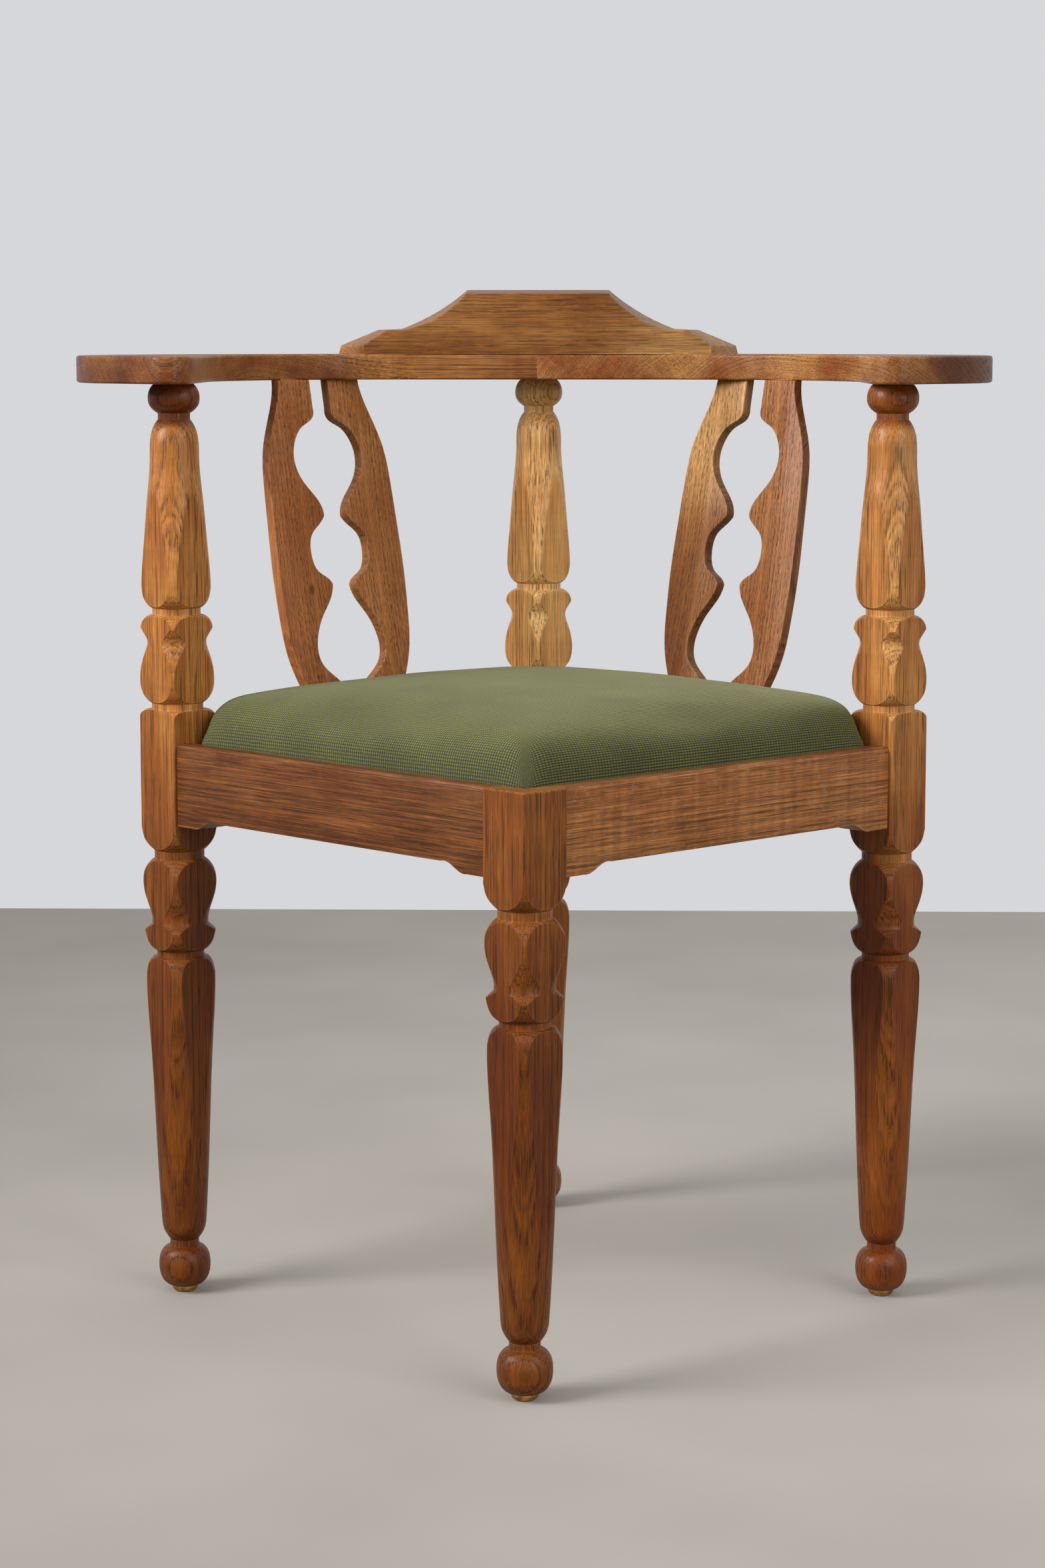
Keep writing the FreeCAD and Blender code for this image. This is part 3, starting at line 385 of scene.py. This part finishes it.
oakLooks = {
    "front_leg": {
        **turnedLeg, "colour": "8a501a", "pore": "35190a", "fleck": "a66d38", "reach": (6, 80),
        "fibre": 0.45, "footShade": "d0b88a", "footShadeTop": 0.4},
    "left_post": {
        **turnedLeg, **ballShadeUnderArm, "colour": "b27434", "reach": (8, 78), "footShade": "a88856",
        "aged": "d8bfa4", "tipStainAndShade": "a88468"},
    "right_post": {
        **turnedLeg, **ballShadeUnderArm, "colour": "b67a3c", "reach": (-6, 66), "footShade": "b8905e",
        "aged": "d4ba9c", "tipStainAndShade": "c8a888"},
    "back_post": {**turnedLeg, "colour": "eab068", "reach": (58, -60), "footShade": "ae885e"},
    "front_left_rail": {
        "grain": "leftToFront", "colour": "7c4a22", "pore": "38200f", "fleck": "a5744a",
        "reach": (84, 22), "rings": 0.34, "rays": 0.06, "fibre": 0.6, "aged": "cdb398"},
    "front_right_rail": {
        "grain": "frontToRight", "colour": "a96f3e", "pore": "4a2b18", "fleck": "b98a60",
        "reach": (95, 8), "rings": 0.34, "rays": 0.3, "fibre": 0.5, "pores": 0.6, "curl": 0.14},
    "back_right_rail": {**backRail, "grain": "leftToFront", "reach": (80, 30)},
    "back_left_rail": {**backRail, "grain": "frontToRight", "reach": (-85, 26)},
    "left_arm": {
        **armBoard, "grain": "x", "colour": "98622e", "pore": "3c2010", "reach": (110, 30),
        "curl": 0.08, "aged": "c09878", "tip": (-0.25, -0.31), "tipStainAndShade": "cbc4bc"},
    "right_arm": {
        **armBoard, "grain": "y", "colour": "a4703c", "pore": "442714", "reach": (30, 120),
        "curl": 0.1, "aged": "c6a07c", "tip": (0.285, 0.32), "tipStainAndShade": "9c8478"},
    "crest_rail": {
        "grain": "x", "colour": "ac804a", "pore": "442814", "reach": (92, 34), "ring": 1.7,
        "rings": 0.12, "rays": 0.14, "pores": 0.6, "poreLength": 14, "aged": "c4ac8a",
        "tip": (0.11, 0.03), "tipStainAndShade": "dbc6a4"},
    "left_front_splat": {
        **splatBoard, "colour": "ac6c38", "reach": (60, 52), "knot": (-0.1797, 0.1304, 0.5415)},
    "left_back_splat": {**splatBoard, "colour": "b2763f", "reach": (66, 60)},
    "right_front_splat": {
        **splatBoard, "colour": "9c6436", "reach": (-62, 50), "rings": 0.3, "pores": 0.85},
    "right_back_splat": {
        **splatBoard, "colour": "b88a52", "reach": (-58, 64), "aged": "cdb698",
        "tipAxis": "Z", "tip": (0.655, 0.58), "tipStainAndShade": "cfb496"},
    "arm_dowels": {"grain": "x", "reach": (60, 20)},
}


def setMaterial(piece, material):
    piece.data.materials.clear()
    piece.data.materials.append(material)


def finishOak():
    for node, changes in oakLooks.items():
        look = dict(oakBase, **changes)
        low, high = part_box(node)
        offset = Vector((look["reach"][0] * mm, look["reach"][1] * mm, 0))
        offset.rotate(Euler(grainTurns[look["grain"]]))
        look["middlePoint"] = (low + high) / 2
        look["heart"] = look["middlePoint"] + offset
        setMaterial(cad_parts[node], makeOak("waxedOak_" + node, look))


finishOak()
print("oak finished")


# The boards' arrises are rounded by sandpaper and by use: merged copies of the CAD boards.
arrises = {
    "front_left_rail": 1.4, "front_right_rail": 1.4, "back_left_rail": 1.4, "back_right_rail": 1.4,
    "left_arm": 2.0, "right_arm": 2.0, "crest_rail": 1.4,
    "left_front_splat": 1.6, "left_back_splat": 1.6, "right_front_splat": 1.6, "right_back_splat": 1.6,
}


def roundArris(node, width):
    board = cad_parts[node].copy()
    board.data = board.data.copy()
    board.name = node + "_rounded"
    bpy.context.scene.collection.objects.link(board)
    editAll(board)
    bpy.ops.mesh.remove_doubles(threshold=0.01 * mm)
    bpy.ops.mesh.dissolve_limited(angle_limit=math.radians(0.5))
    bpy.ops.object.mode_set(mode="OBJECT")
    applyModifier(board, "BEVEL", width=width * mm, segments=3, limit_method="ANGLE",
                  angle_limit=math.radians(40), use_clamp_overlap=True)
    bpy.ops.object.shade_smooth_by_angle(angle=math.radians(32))
    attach(board, "chair_frame")
    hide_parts(node)


for node, width in arrises.items():
    roundArris(node, width)
print("arrises rounded")


# The hidden pine and beech was never stained or waxed: even rings in a pale tone, and a saw's
# fine tooth that leaves it dry and dull beside the oak.
plainWoods = {
    "pineBlocks": {"nodes": ["front_corner_block", "left_corner_block", "right_corner_block",
                             "back_corner_block"],
                   "grain": "x", "ring": 3.5, "late": "a97a48", "early": "cfa875", "rough": 0.7},
    "beechBars": {"nodes": ["seat_bar_front_left", "seat_bar_back_right"],
                  "grain": "leftToFront", "ring": 2.4, "late": "b48a5e", "early": "c39c70", "rough": 0.62},
    "beechCrossBars": {"nodes": ["seat_bar_front_right", "seat_bar_back_left"],
                       "grain": "frontToRight", "ring": 2.4, "late": "b08659", "early": "c1996c", "rough": 0.62},
}


def makePlainWood(name, look):
    material, shader = startMaterial(name)
    place = addNode(material, "TexCoord")
    board = addNode(material, "Mapping", {"vector_type": "TEXTURE"},
                    {"Vector": place.outputs["Object"], "Location": (0, 0, 0.33),
                     "Rotation": grainTurns[look["grain"]]})
    grain = board.outputs["Vector"]
    slow = addNode(material, "VectorMath", {"operation": "MULTIPLY"}, {0: grain, 1: (1, 1, 0.1)})
    wander = addNode(material, "TexNoise", inputs={
        "Vector": slow.outputs["Vector"], "Scale": 20, "Detail": 2})
    across = addNode(material, "VectorMath", {"operation": "MULTIPLY"}, {0: grain, 1: (1, 1, 0)})
    radius = addNode(material, "VectorMath", {"operation": "LENGTH"}, {0: across.outputs["Vector"]})
    grown = addNode(material, "Math", {"operation": "MULTIPLY_ADD"},
                    {0: wander.outputs["Fac"], 1: 8 * mm, 2: radius.outputs["Value"]})
    rings = addNode(material, "Math", {"operation": "MULTIPLY"},
                    {0: grown.outputs["Value"], 1: 1 / (look["ring"] * mm)})
    year = addNode(material, "Math", {"operation": "FRACT"}, {0: rings.outputs["Value"]})
    tone = rampColours(material, year.outputs["Value"],
                       [(0.0, look["early"]), (0.55, look["early"]), (0.9, look["late"]), (1.0, look["early"])])
    link(material, tone, shader.inputs["Base Color"])
    shader.inputs["Roughness"].default_value = look["rough"]
    saw = addNode(material, "TexNoise", inputs={"Vector": grain, "Scale": 900, "Detail": 2})
    bump = addNode(material, "Bump", inputs={
        "Height": saw.outputs["Fac"], "Strength": 0.25, "Distance": 0.1 * mm})
    link(material, bump.outputs["Normal"], shader.inputs["Normal"])
    return material


for name, look in plainWoods.items():
    plainWood = makePlainWood(name, look)
    for node in look["nodes"]:
        setMaterial(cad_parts[node], plainWood)


# Metal: the glides are stamped brass, gone amber, and the screws and tacks are plain steel.
# Both have clouds of tarnish, so that their shine comes and goes.
metalLooks = {
    "agedBrass": {"nodes": ["front_glide", "left_glide", "right_glide", "back_glide"],
                  "bright": "c79a55", "dull": "8a6230", "gloss": 0.32},
    "plainSteel": {"nodes": ["crest_screws", "corner_block_screws", "cover_tacks", "webbing_tacks"],
                   "bright": "a7a5a0", "dull": "6f6a62", "gloss": 0.4},
}


def makeMetal(name, look):
    material, shader = startMaterial(name)
    place = addNode(material, "TexCoord")
    cloud = addNode(material, "TexNoise", inputs={
        "Vector": place.outputs["Object"], "Scale": 220, "Detail": 4})
    tone = rampColours(material, cloud.outputs["Fac"], [(0.35, look["dull"]), (0.62, look["bright"])])
    link(material, tone, shader.inputs["Base Color"])
    shader.inputs["Metallic"].default_value = 1
    rough = addNode(material, "MapRange", inputs={"Value": cloud.outputs["Fac"], "To Min": look["gloss"] + 0.2,
                                                  "To Max": look["gloss"] - 0.1})
    link(material, rough.outputs["Result"], shader.inputs["Roughness"])
    return material


for name, look in metalLooks.items():
    metal = makeMetal(name, look)
    for node in look["nodes"]:
        setMaterial(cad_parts[node], metal)


# Across and along the woven things are the two ways of the seat square.
seatTurn = math.radians(45)


# Jute webbing: a plain weave of thick, dry threads, so it is matt and rough with a small
# check. The threads are drawn somewhat coarser than real ones so that they show.
def makeJute(name):
    material, shader = startMaterial(name)
    place = addNode(material, "TexCoord")
    square = addNode(material, "Mapping", {"vector_type": "POINT"},
                     {"Vector": place.outputs["Object"], "Rotation": (0, 0, seatTurn)})
    thread = 2.2 * mm
    waves = addNode(material, "VectorMath", {"operation": "SCALE"},
                    {0: square.outputs["Vector"], "Scale": 2 * math.pi / thread})
    parts = addNode(material, "SeparateXYZ", inputs={"Vector": waves.outputs["Vector"]})
    warp = addNode(material, "Math", {"operation": "SINE"}, {0: parts.outputs["X"]})
    weft = addNode(material, "Math", {"operation": "SINE"}, {0: parts.outputs["Y"]})
    over = addNode(material, "Math", {"operation": "MULTIPLY"},
                   {0: warp.outputs["Value"], 1: weft.outputs["Value"]})
    height = addNode(material, "MapRange", inputs={
        "Value": over.outputs["Value"], "From Min": -1, "From Max": 1})
    tone = rampColours(material, height.outputs["Result"], [(0.1, "6d5230"), (0.9, "b6925c")])
    link(material, tone, shader.inputs["Base Color"])
    shader.inputs["Roughness"].default_value = 0.9
    bump = addNode(material, "Bump", inputs={"Height": height.outputs["Result"], "Strength": 0.8,
                                             "Distance": 0.6 * mm})
    link(material, bump.outputs["Normal"], shader.inputs["Normal"])
    return material


jute = makeJute("juteWebbing")
for node in ("webbing_across", "webbing_along"):
    setMaterial(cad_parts[node], jute)


# Curled hair: a dark, matt tangle of fibres with pale strands in it.
def makeStuffing():
    material, shader = startMaterial("curledHair")
    place = addNode(material, "TexCoord")
    curl = addNode(material, "TexNoise", inputs={"Vector": place.outputs["Object"], "Scale": 420, "Detail": 5,
                                                 "Distortion": 3})
    tone = rampColours(material, curl.outputs["Fac"], [(0.35, "3b2e22"), (0.62, "86705a")])
    link(material, tone, shader.inputs["Base Color"])
    shader.inputs["Roughness"].default_value = 0.95
    bump = addNode(material, "Bump", inputs={
        "Height": curl.outputs["Fac"], "Strength": 1, "Distance": 1.5 * mm})
    link(material, bump.outputs["Normal"], shader.inputs["Normal"])
    return material


# Green seat cloth: a wool rep with a small looped rib, dark when seen straight on and pale and
# soft when seen along its nap. The ribs are about 1.1 mm apart on the real cloth and drawn
# twice as coarse so that they show. The pattern follows the "weave" attribute, which is
# unrolled over the edges.
clothLook = {
    "rib": 2.3,
    "loop": 2.9,
    "light": "75753c",
    "shade": "444822",
    "deep": "1c200d",
    # Painted shade on the sides: from this height up to the next, darkened by this factor at the rim.
    "sideShadeLow": 438,
    "sideShadeHigh": 468,
    "sideShade": 0.78,
}


def makeCloth(look):
    material, shader = startMaterial("greenWoolRep")
    woven = addNode(material, "Attribute", {"attribute_name": "weave"})
    fuzz = addNode(material, "TexNoise", inputs={
        "Vector": woven.outputs["Vector"], "Scale": 620, "Detail": 3})
    nudge = addNode(material, "VectorMath", {"operation": "SCALE"},
                    {0: fuzz.outputs["Color"], "Scale": 0.5 * mm})
    moved = addNode(material, "VectorMath", {"operation": "ADD"},
                    {0: woven.outputs["Vector"], 1: nudge.outputs["Vector"]})
    turns = addNode(material, "VectorMath", {"operation": "MULTIPLY"},
                    {0: moved.outputs["Vector"],
                     1: (math.pi / (look["rib"] * mm), math.pi / (look["loop"] * mm), 0)})
    parts = addNode(material, "SeparateXYZ", inputs={"Vector": turns.outputs["Vector"]})
    rib = addNode(material, "Math", {"operation": "SINE"}, {0: parts.outputs["X"]})
    loop = addNode(material, "Math", {"operation": "SINE"}, {0: parts.outputs["Y"]})
    ribUp = addNode(material, "Math", {"operation": "ABSOLUTE"}, {0: rib.outputs["Value"]})
    loopUp = addNode(material, "Math", {"operation": "ABSOLUTE"}, {0: loop.outputs["Value"]})
    loops = addNode(material, "MapRange", inputs={
        "Value": loopUp.outputs["Value"], "To Min": 0.4, "To Max": 1})
    pile = addNode(material, "Math", {"operation": "MULTIPLY"},
                   {0: ribUp.outputs["Value"], 1: loops.outputs["Result"]})
    tone = rampColours(material, pile.outputs["Value"],
                       [(0.05, look["deep"]), (0.45, look["shade"]), (0.95, look["light"])])
    blotches = addNode(material, "TexNoise", inputs={
        "Vector": woven.outputs["Vector"], "Scale": 14, "Detail": 4})
    wear = addNode(material, "MapRange", inputs={
        "Value": blotches.outputs["Fac"], "From Min": 0.3, "From Max": 0.7, "To Min": 0.78, "To Max": 1.16})
    # The sides get darker towards the rim: painted shade, as the light falls mostly from above.
    place = addNode(material, "TexCoord")
    height = addNode(material, "SeparateXYZ", inputs={"Vector": place.outputs["Object"]})
    sideShading = addNode(material, "MapRange", {"interpolation_type": "SMOOTHSTEP"},
                  {"Value": height.outputs["Z"], "From Min": look["sideShadeLow"] * mm, "From Max": look["sideShadeHigh"] * mm,
                   "To Min": look["sideShade"], "To Max": 1})
    wornAndSideShaded = addNode(material, "Math", {"operation": "MULTIPLY"},
                     {0: wear.outputs["Result"], 1: sideShading.outputs["Result"]})
    speckle = addNode(material, "MapRange", inputs={
        "Value": fuzz.outputs["Fac"], "From Min": 0.3, "From Max": 0.7, "To Min": 0.68, "To Max": 1.3})
    shade = addNode(material, "Math", {"operation": "MULTIPLY"},
                    {0: wornAndSideShaded.outputs["Value"], 1: speckle.outputs["Result"]})
    final = addNode(material, "VectorMath", {"operation": "SCALE"},
                    {0: tone, "Scale": shade.outputs["Value"]})
    link(material, final.outputs["Vector"], shader.inputs["Base Color"])
    shader.inputs["Roughness"].default_value = 0.85
    shader.inputs["Sheen Weight"].default_value = 0.34
    shader.inputs["Sheen Roughness"].default_value = 0.35
    shader.inputs["Sheen Tint"].default_value = linearColour("d8d8a8")
    bump = addNode(material, "Bump", inputs={"Height": pile.outputs["Value"], "Strength": 0.7,
                                             "Distance": 0.5 * mm})
    link(material, bump.outputs["Normal"], shader.inputs["Normal"])
    return material


# The upholstered seat: drawn in the seat square's own axes, where the front leg is at
# +X, -Y and the posts stand in the other corners, then blown up as cloth and turned. It is
# held up to the rim and comes free over the slack. Rounding and settling are passes of
# smoothing, and the cap is the most that the pressure may move a point.
seatPad = {
    "half": 195.3,
    "corner": 11,
    "notch": 170.3,
    "base": 423.4,
    "rim": 437,
    "slack": 9,
    "top": 473,
    "voxel": 6,
    "rounding": 105,
    "pressure": 0.6,
    "mass": 0.3,
    "stiffness": 20,
    "frames": 20,
    "cap": 10,
    "settling": 20,
    "barTop": 442.5,
    "barFit": 0.972,
    "ease": 0.9,
    "lip": 34,
    "cloth": 1.2,
    "stuffingBase": 444.9,
    "fill": 0.8,
}


def makeSeatBlank(pad):
    half = pad["half"] * mm
    notch = pad["notch"] * mm
    bpy.ops.object.select_all(action="DESELECT")
    bpy.ops.mesh.primitive_plane_add(size=2 * half, location=(0, 0, pad["base"] * mm))
    blank = bpy.context.object
    blank.name = "seat_cushion"
    bpy.ops.object.transform_apply(location=True, rotation=True, scale=True)
    editAll(blank)
    for axis in ((1, 0, 0), (0, 1, 0)):
        for side in (-1, 1):
            bpy.ops.mesh.select_all(action="SELECT")
            bpy.ops.mesh.bisect(plane_co=[side * notch * a for a in axis], plane_no=axis)
    # The squares at the posts come out. In vertex mode, choosing them would also choose the
    # strips between them.
    bpy.ops.mesh.select_mode(type="FACE")
    bpy.ops.mesh.select_all(action="DESELECT")
    bpy.ops.object.mode_set(mode="OBJECT")
    for face in blank.data.polygons:
        x, y, _ = face.center
        face.select = abs(x) > notch and abs(y) > notch and not (x > 0 and y < 0)
    bpy.ops.object.mode_set(mode="EDIT")
    bpy.ops.mesh.delete(type="FACE")
    bpy.ops.mesh.select_all(action="SELECT")
    rise = (pad["top"] - pad["base"]) * mm
    bpy.ops.mesh.extrude_region_move(TRANSFORM_OT_translate={"value": (0, 0, rise)})
    bpy.ops.mesh.select_all(action="SELECT")
    bpy.ops.mesh.normals_make_consistent(inside=False)
    bpy.ops.mesh.select_mode(type="EDGE")
    bpy.ops.mesh.select_all(action="DESELECT")
    bpy.ops.object.mode_set(mode="OBJECT")
    # The upright corners, but for the inner ones at the posts, are rounded.
    for edge in blank.data.edges:
        ends = [blank.data.vertices[number].co for number in edge.vertices]
        x, y = ends[0].x, ends[0].y
        upright = abs(ends[0].z - ends[1].z) > 0.9 * rise
        inFront = x > 0 and y < 0
        sides = [abs(x) > 0.99 * half, abs(y) > 0.99 * half]
        edge.select = upright and (all(sides) if inFront else any(sides))
    bpy.ops.object.mode_set(mode="EDIT")
    bpy.ops.mesh.bevel(offset=pad["corner"] * mm, segments=5, affect="EDGES")
    bpy.ops.mesh.select_mode(type="VERT")
    bpy.ops.object.mode_set(mode="OBJECT")
    return blank


def blowUp(cushion, pad):
    applyModifier(cushion, "REMESH", mode="VOXEL", voxel_size=pad["voxel"] * mm)
    points = readPoints(cushion)
    free = np.clip((points[:, 2] - pad["rim"] * mm) / (pad["slack"] * mm), 0, 1)
    for name, weights in (("free", free), ("held", 1 - free)):
        group = cushion.vertex_groups.new(name=name)
        for number, weight in enumerate(weights):
            group.add([number], float(weight), "REPLACE")
    applyModifier(cushion, "SMOOTH", factor=0.5, iterations=pad["rounding"], vertex_group="free")
    before = readPoints(cushion)
    swell = cushion.modifiers.new("Swell", "CLOTH")
    swell.settings.use_pressure = True
    swell.settings.uniform_pressure_force = pad["pressure"]
    swell.settings.effector_weights.gravity = 0
    swell.settings.vertex_group_mass = "held"
    swell.settings.mass = pad["mass"]
    swell.settings.tension_stiffness = pad["stiffness"]
    swell.settings.compression_stiffness = pad["stiffness"]
    for number in range(1, pad["frames"] + 1):
        bpy.context.scene.frame_set(number)
    workOn(cushion)
    bpy.ops.object.modifier_apply(modifier=swell.name)
    bpy.context.scene.frame_set(1)
    moved = readPoints(cushion) - before
    length = np.linalg.norm(moved, axis=1, keepdims=True)
    limit = np.minimum(1, pad["cap"] * mm / np.maximum(length, 1e-9))
    print("cushion swelled by up to", round(float(length.max()) / mm, 1), "mm, kept to", pad["cap"])
    writePoints(cushion, before + moved * limit)
    applyModifier(cushion, "SMOOTH", factor=0.5, iterations=pad["settling"], vertex_group="free")
    applyModifier(cushion, "SUBSURF", levels=1, render_levels=1)


def pressAtPosts(cushion, pad):
    # Remeshing fills the inner corners of the notches, and the posts press that back.
    points = readPoints(cushion)
    into = np.abs(points[:, :2]).min(axis=1) - pad["notch"] * mm
    inFront = (points[:, 0] > 0) & (points[:, 1] < 0)
    into = np.where(inFront, 0, np.clip(into, 0, None))
    points[:, :2] -= np.sign(points[:, :2]) * into[:, None]
    writePoints(cushion, points)


def easeBars(pad):
    # The bars are drawn in and slope in further towards the top, so that the cloth rolls over
    # them.
    for node in ("seat_bar_front_left", "seat_bar_front_right",
                 "seat_bar_back_left", "seat_bar_back_right"):
        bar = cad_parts[node].copy()
        bar.data = bar.data.copy()
        bar.name = node + "_eased"
        bpy.context.scene.collection.objects.link(bar)
        editAll(bar)
        bpy.ops.mesh.remove_doubles(threshold=0.01 * mm)
        bpy.ops.transform.resize(value=(pad["barFit"], pad["barFit"], 1), center_override=(0, 0, 0))
        bpy.ops.mesh.select_all(action="DESELECT")
        bpy.ops.object.mode_set(mode="OBJECT")
        for point in bar.data.vertices:
            point.select = point.co.z > (pad["barTop"] - 1) * mm
        bpy.ops.object.mode_set(mode="EDIT")
        bpy.ops.transform.resize(value=(pad["ease"], pad["ease"], 1), center_override=(0, 0, 0))
        bpy.ops.object.mode_set(mode="OBJECT")
        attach(bar, "seat")
        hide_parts(node)


def makeStuffingPad(cushion, pad):
    stuffing = cushion.copy()
    stuffing.data = cushion.data.copy()
    stuffing.name = "stuffing"
    bpy.context.scene.collection.objects.link(stuffing)
    editAll(stuffing)
    bpy.ops.transform.shrink_fatten(value=-1.5 * pad["cloth"] * mm)
    bpy.ops.mesh.bisect(plane_co=(0, 0, pad["stuffingBase"] * mm), plane_no=(0, 0, 1),
                        clear_inner=True, use_fill=True)
    bpy.ops.object.mode_set(mode="OBJECT")
    return stuffing


def makeCover(cushion, pad):
    # The cloth is turned in under the frame as a lip and leaves the underside open.
    opening = (pad["half"] - pad["lip"]) * mm
    for face in cushion.data.polygons:
        x, y, z = face.center
        face.select = max(abs(x), abs(y)) < opening and z < (pad["base"] + 2) * mm
    workOn(cushion)
    bpy.ops.object.mode_set(mode="EDIT")
    bpy.ops.mesh.delete(type="FACE")
    bpy.ops.object.mode_set(mode="OBJECT")
    applyModifier(cushion, "SOLIDIFY", thickness=pad["cloth"] * mm, offset=-1)


def unrollWeave(cushion, pad):
    # Across and along the cloth in metres, carried down over the sides, which start at this
    # share of the half width.
    sidesFrom = 0.8
    points = readPoints(cushion)
    normals = np.empty(len(points) * 3, np.float32)
    cushion.data.vertex_normals.foreach_get("vector", normals)
    normals = normals.reshape(-1, 3)
    flat = np.abs(normals[:, :2]) ** 4 + 1e-9
    share = flat / flat.sum(axis=1, keepdims=True)
    edge = np.abs(points[:, :2]) / (pad["half"] * mm)
    drop = np.clip(pad["top"] * mm - points[:, 2], 0, None) * (edge.max(axis=1) > sidesFrom)
    woven = points.copy()
    woven[:, :2] += np.sign(points[:, :2]) * share * drop[:, None]
    woven[:, 2] = 0
    layer = cushion.data.attributes.new("weave", "FLOAT_VECTOR", "POINT")
    layer.data.foreach_set("vector", woven.ravel())


def layInSeat(piece):
    workOn(piece)
    piece.rotation_euler.z = -seatTurn
    bpy.ops.object.transform_apply(location=False, rotation=True, scale=False)
    bpy.ops.object.shade_smooth()
    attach(piece, "seat")


def makeSeat(pad):
    easeBars(pad)
    cushion = makeSeatBlank(pad)
    blowUp(cushion, pad)
    pressAtPosts(cushion, pad)
    stuffing = makeStuffingPad(cushion, pad)
    makeCover(cushion, pad)
    unrollWeave(cushion, pad)
    layInSeat(cushion)
    layInSeat(stuffing)
    setMaterial(cushion, makeCloth(clothLook))
    setMaterial(stuffing, makeStuffing())
    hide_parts("seat_cover")
    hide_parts("seat_foam")


makeSeat(seatPad)
print("seat finished")


# A plain, matt floor with slow clouds of tone that ends 1.8 m behind the chair, a pale sky, a
# soft window light from the left and a weaker fill from the right. The floor looks pale but
# gives little light back, as a dark one would.
studio = {
    "floorSeen": ("b0aba3", "bab5ae"),
    "floorBounce": "5a5048",
    "floorSize": (9, 7.8, 1),
    "floorShift": -2.1,
    "window": {"place": (-1.9, -1.0, 1.75), "aim": (0, 0, 0.8), "size": 1.3, "power": 13, "spread": 65},
    "fill": {"place": (2.0, -2.2, 1.5), "aim": (0, 0, 0.6), "size": 2.0, "power": 18, "spread": 120},
    "sky": 0.6,
    "skyColour": "f4f3f1",
    "skySeen": "d6d7da",
}


def seenRays(owner):
    # 1 where the camera, a reflection or glass shows the backdrop, and 0 where it gives light.
    rays = addNode(owner, "LightPath")
    mirrored = addNode(owner, "Math", {"operation": "MAXIMUM"},
                       {0: rays.outputs["Is Camera Ray"], 1: rays.outputs["Is Glossy Ray"]})
    shown = addNode(owner, "Math", {"operation": "MAXIMUM"},
                    {0: mirrored.outputs["Value"], 1: rays.outputs["Is Transmission Ray"]})
    return shown.outputs["Value"]


def makeFloor():
    bpy.ops.object.select_all(action="DESELECT")
    bpy.ops.mesh.primitive_plane_add(size=1, location=(0, 0, 0))
    floor = bpy.context.object
    floor.name = "studioFloor"
    floor.scale = studio["floorSize"]
    floor.location.y = studio["floorShift"]
    bpy.ops.object.transform_apply(location=True, rotation=True, scale=True)
    material, shader = startMaterial("paleFloor")
    place = addNode(material, "TexCoord")
    cloud = addNode(material, "TexNoise", inputs={
        "Vector": place.outputs["Object"], "Scale": 3, "Detail": 2})
    tone = rampColours(material, cloud.outputs["Fac"], list(zip((0.3, 0.7), studio["floorSeen"])))
    colour = addNode(material, "Mix", {"data_type": "RGBA"},
                     {0: seenRays(material), 6: linearColour(studio["floorBounce"]), 7: tone})
    link(material, colour.outputs[2], shader.inputs["Base Color"])
    shader.inputs["Roughness"].default_value = 0.9
    setMaterial(floor, material)


def makeLamp(name, look):
    bpy.ops.object.light_add(type="AREA", location=look["place"])
    lamp = bpy.context.object
    lamp.name = name
    lamp.data.size = look["size"]
    lamp.data.energy = look["power"]
    lamp.data.spread = math.radians(look["spread"])
    aim = Vector(look["aim"]) - Vector(look["place"])
    lamp.rotation_euler = aim.to_track_quat("-Z", "Y").to_euler()


def makeSky():
    world = bpy.data.worlds.new("studioSky")
    bpy.context.scene.world = world
    world.use_nodes = True
    light = addNode(world, "Background", inputs={
        "Color": linearColour(studio["skyColour"]), "Strength": studio["sky"]})
    seen = addNode(world, "Background", inputs={"Color": linearColour(studio["skySeen"])})
    mix = addNode(world, "MixShader", inputs={0: seenRays(world), 1: light.outputs["Background"],
                                              2: seen.outputs["Background"]})
    link(world, mix.outputs["Shader"], world.node_tree.nodes["World Output"].inputs["Surface"])


makeFloor()
makeLamp("windowLamp", studio["window"])
makeLamp("fillLamp", studio["fill"])
makeSky()
bpy.context.scene.view_settings.view_transform = "Standard"
print("studio finished")
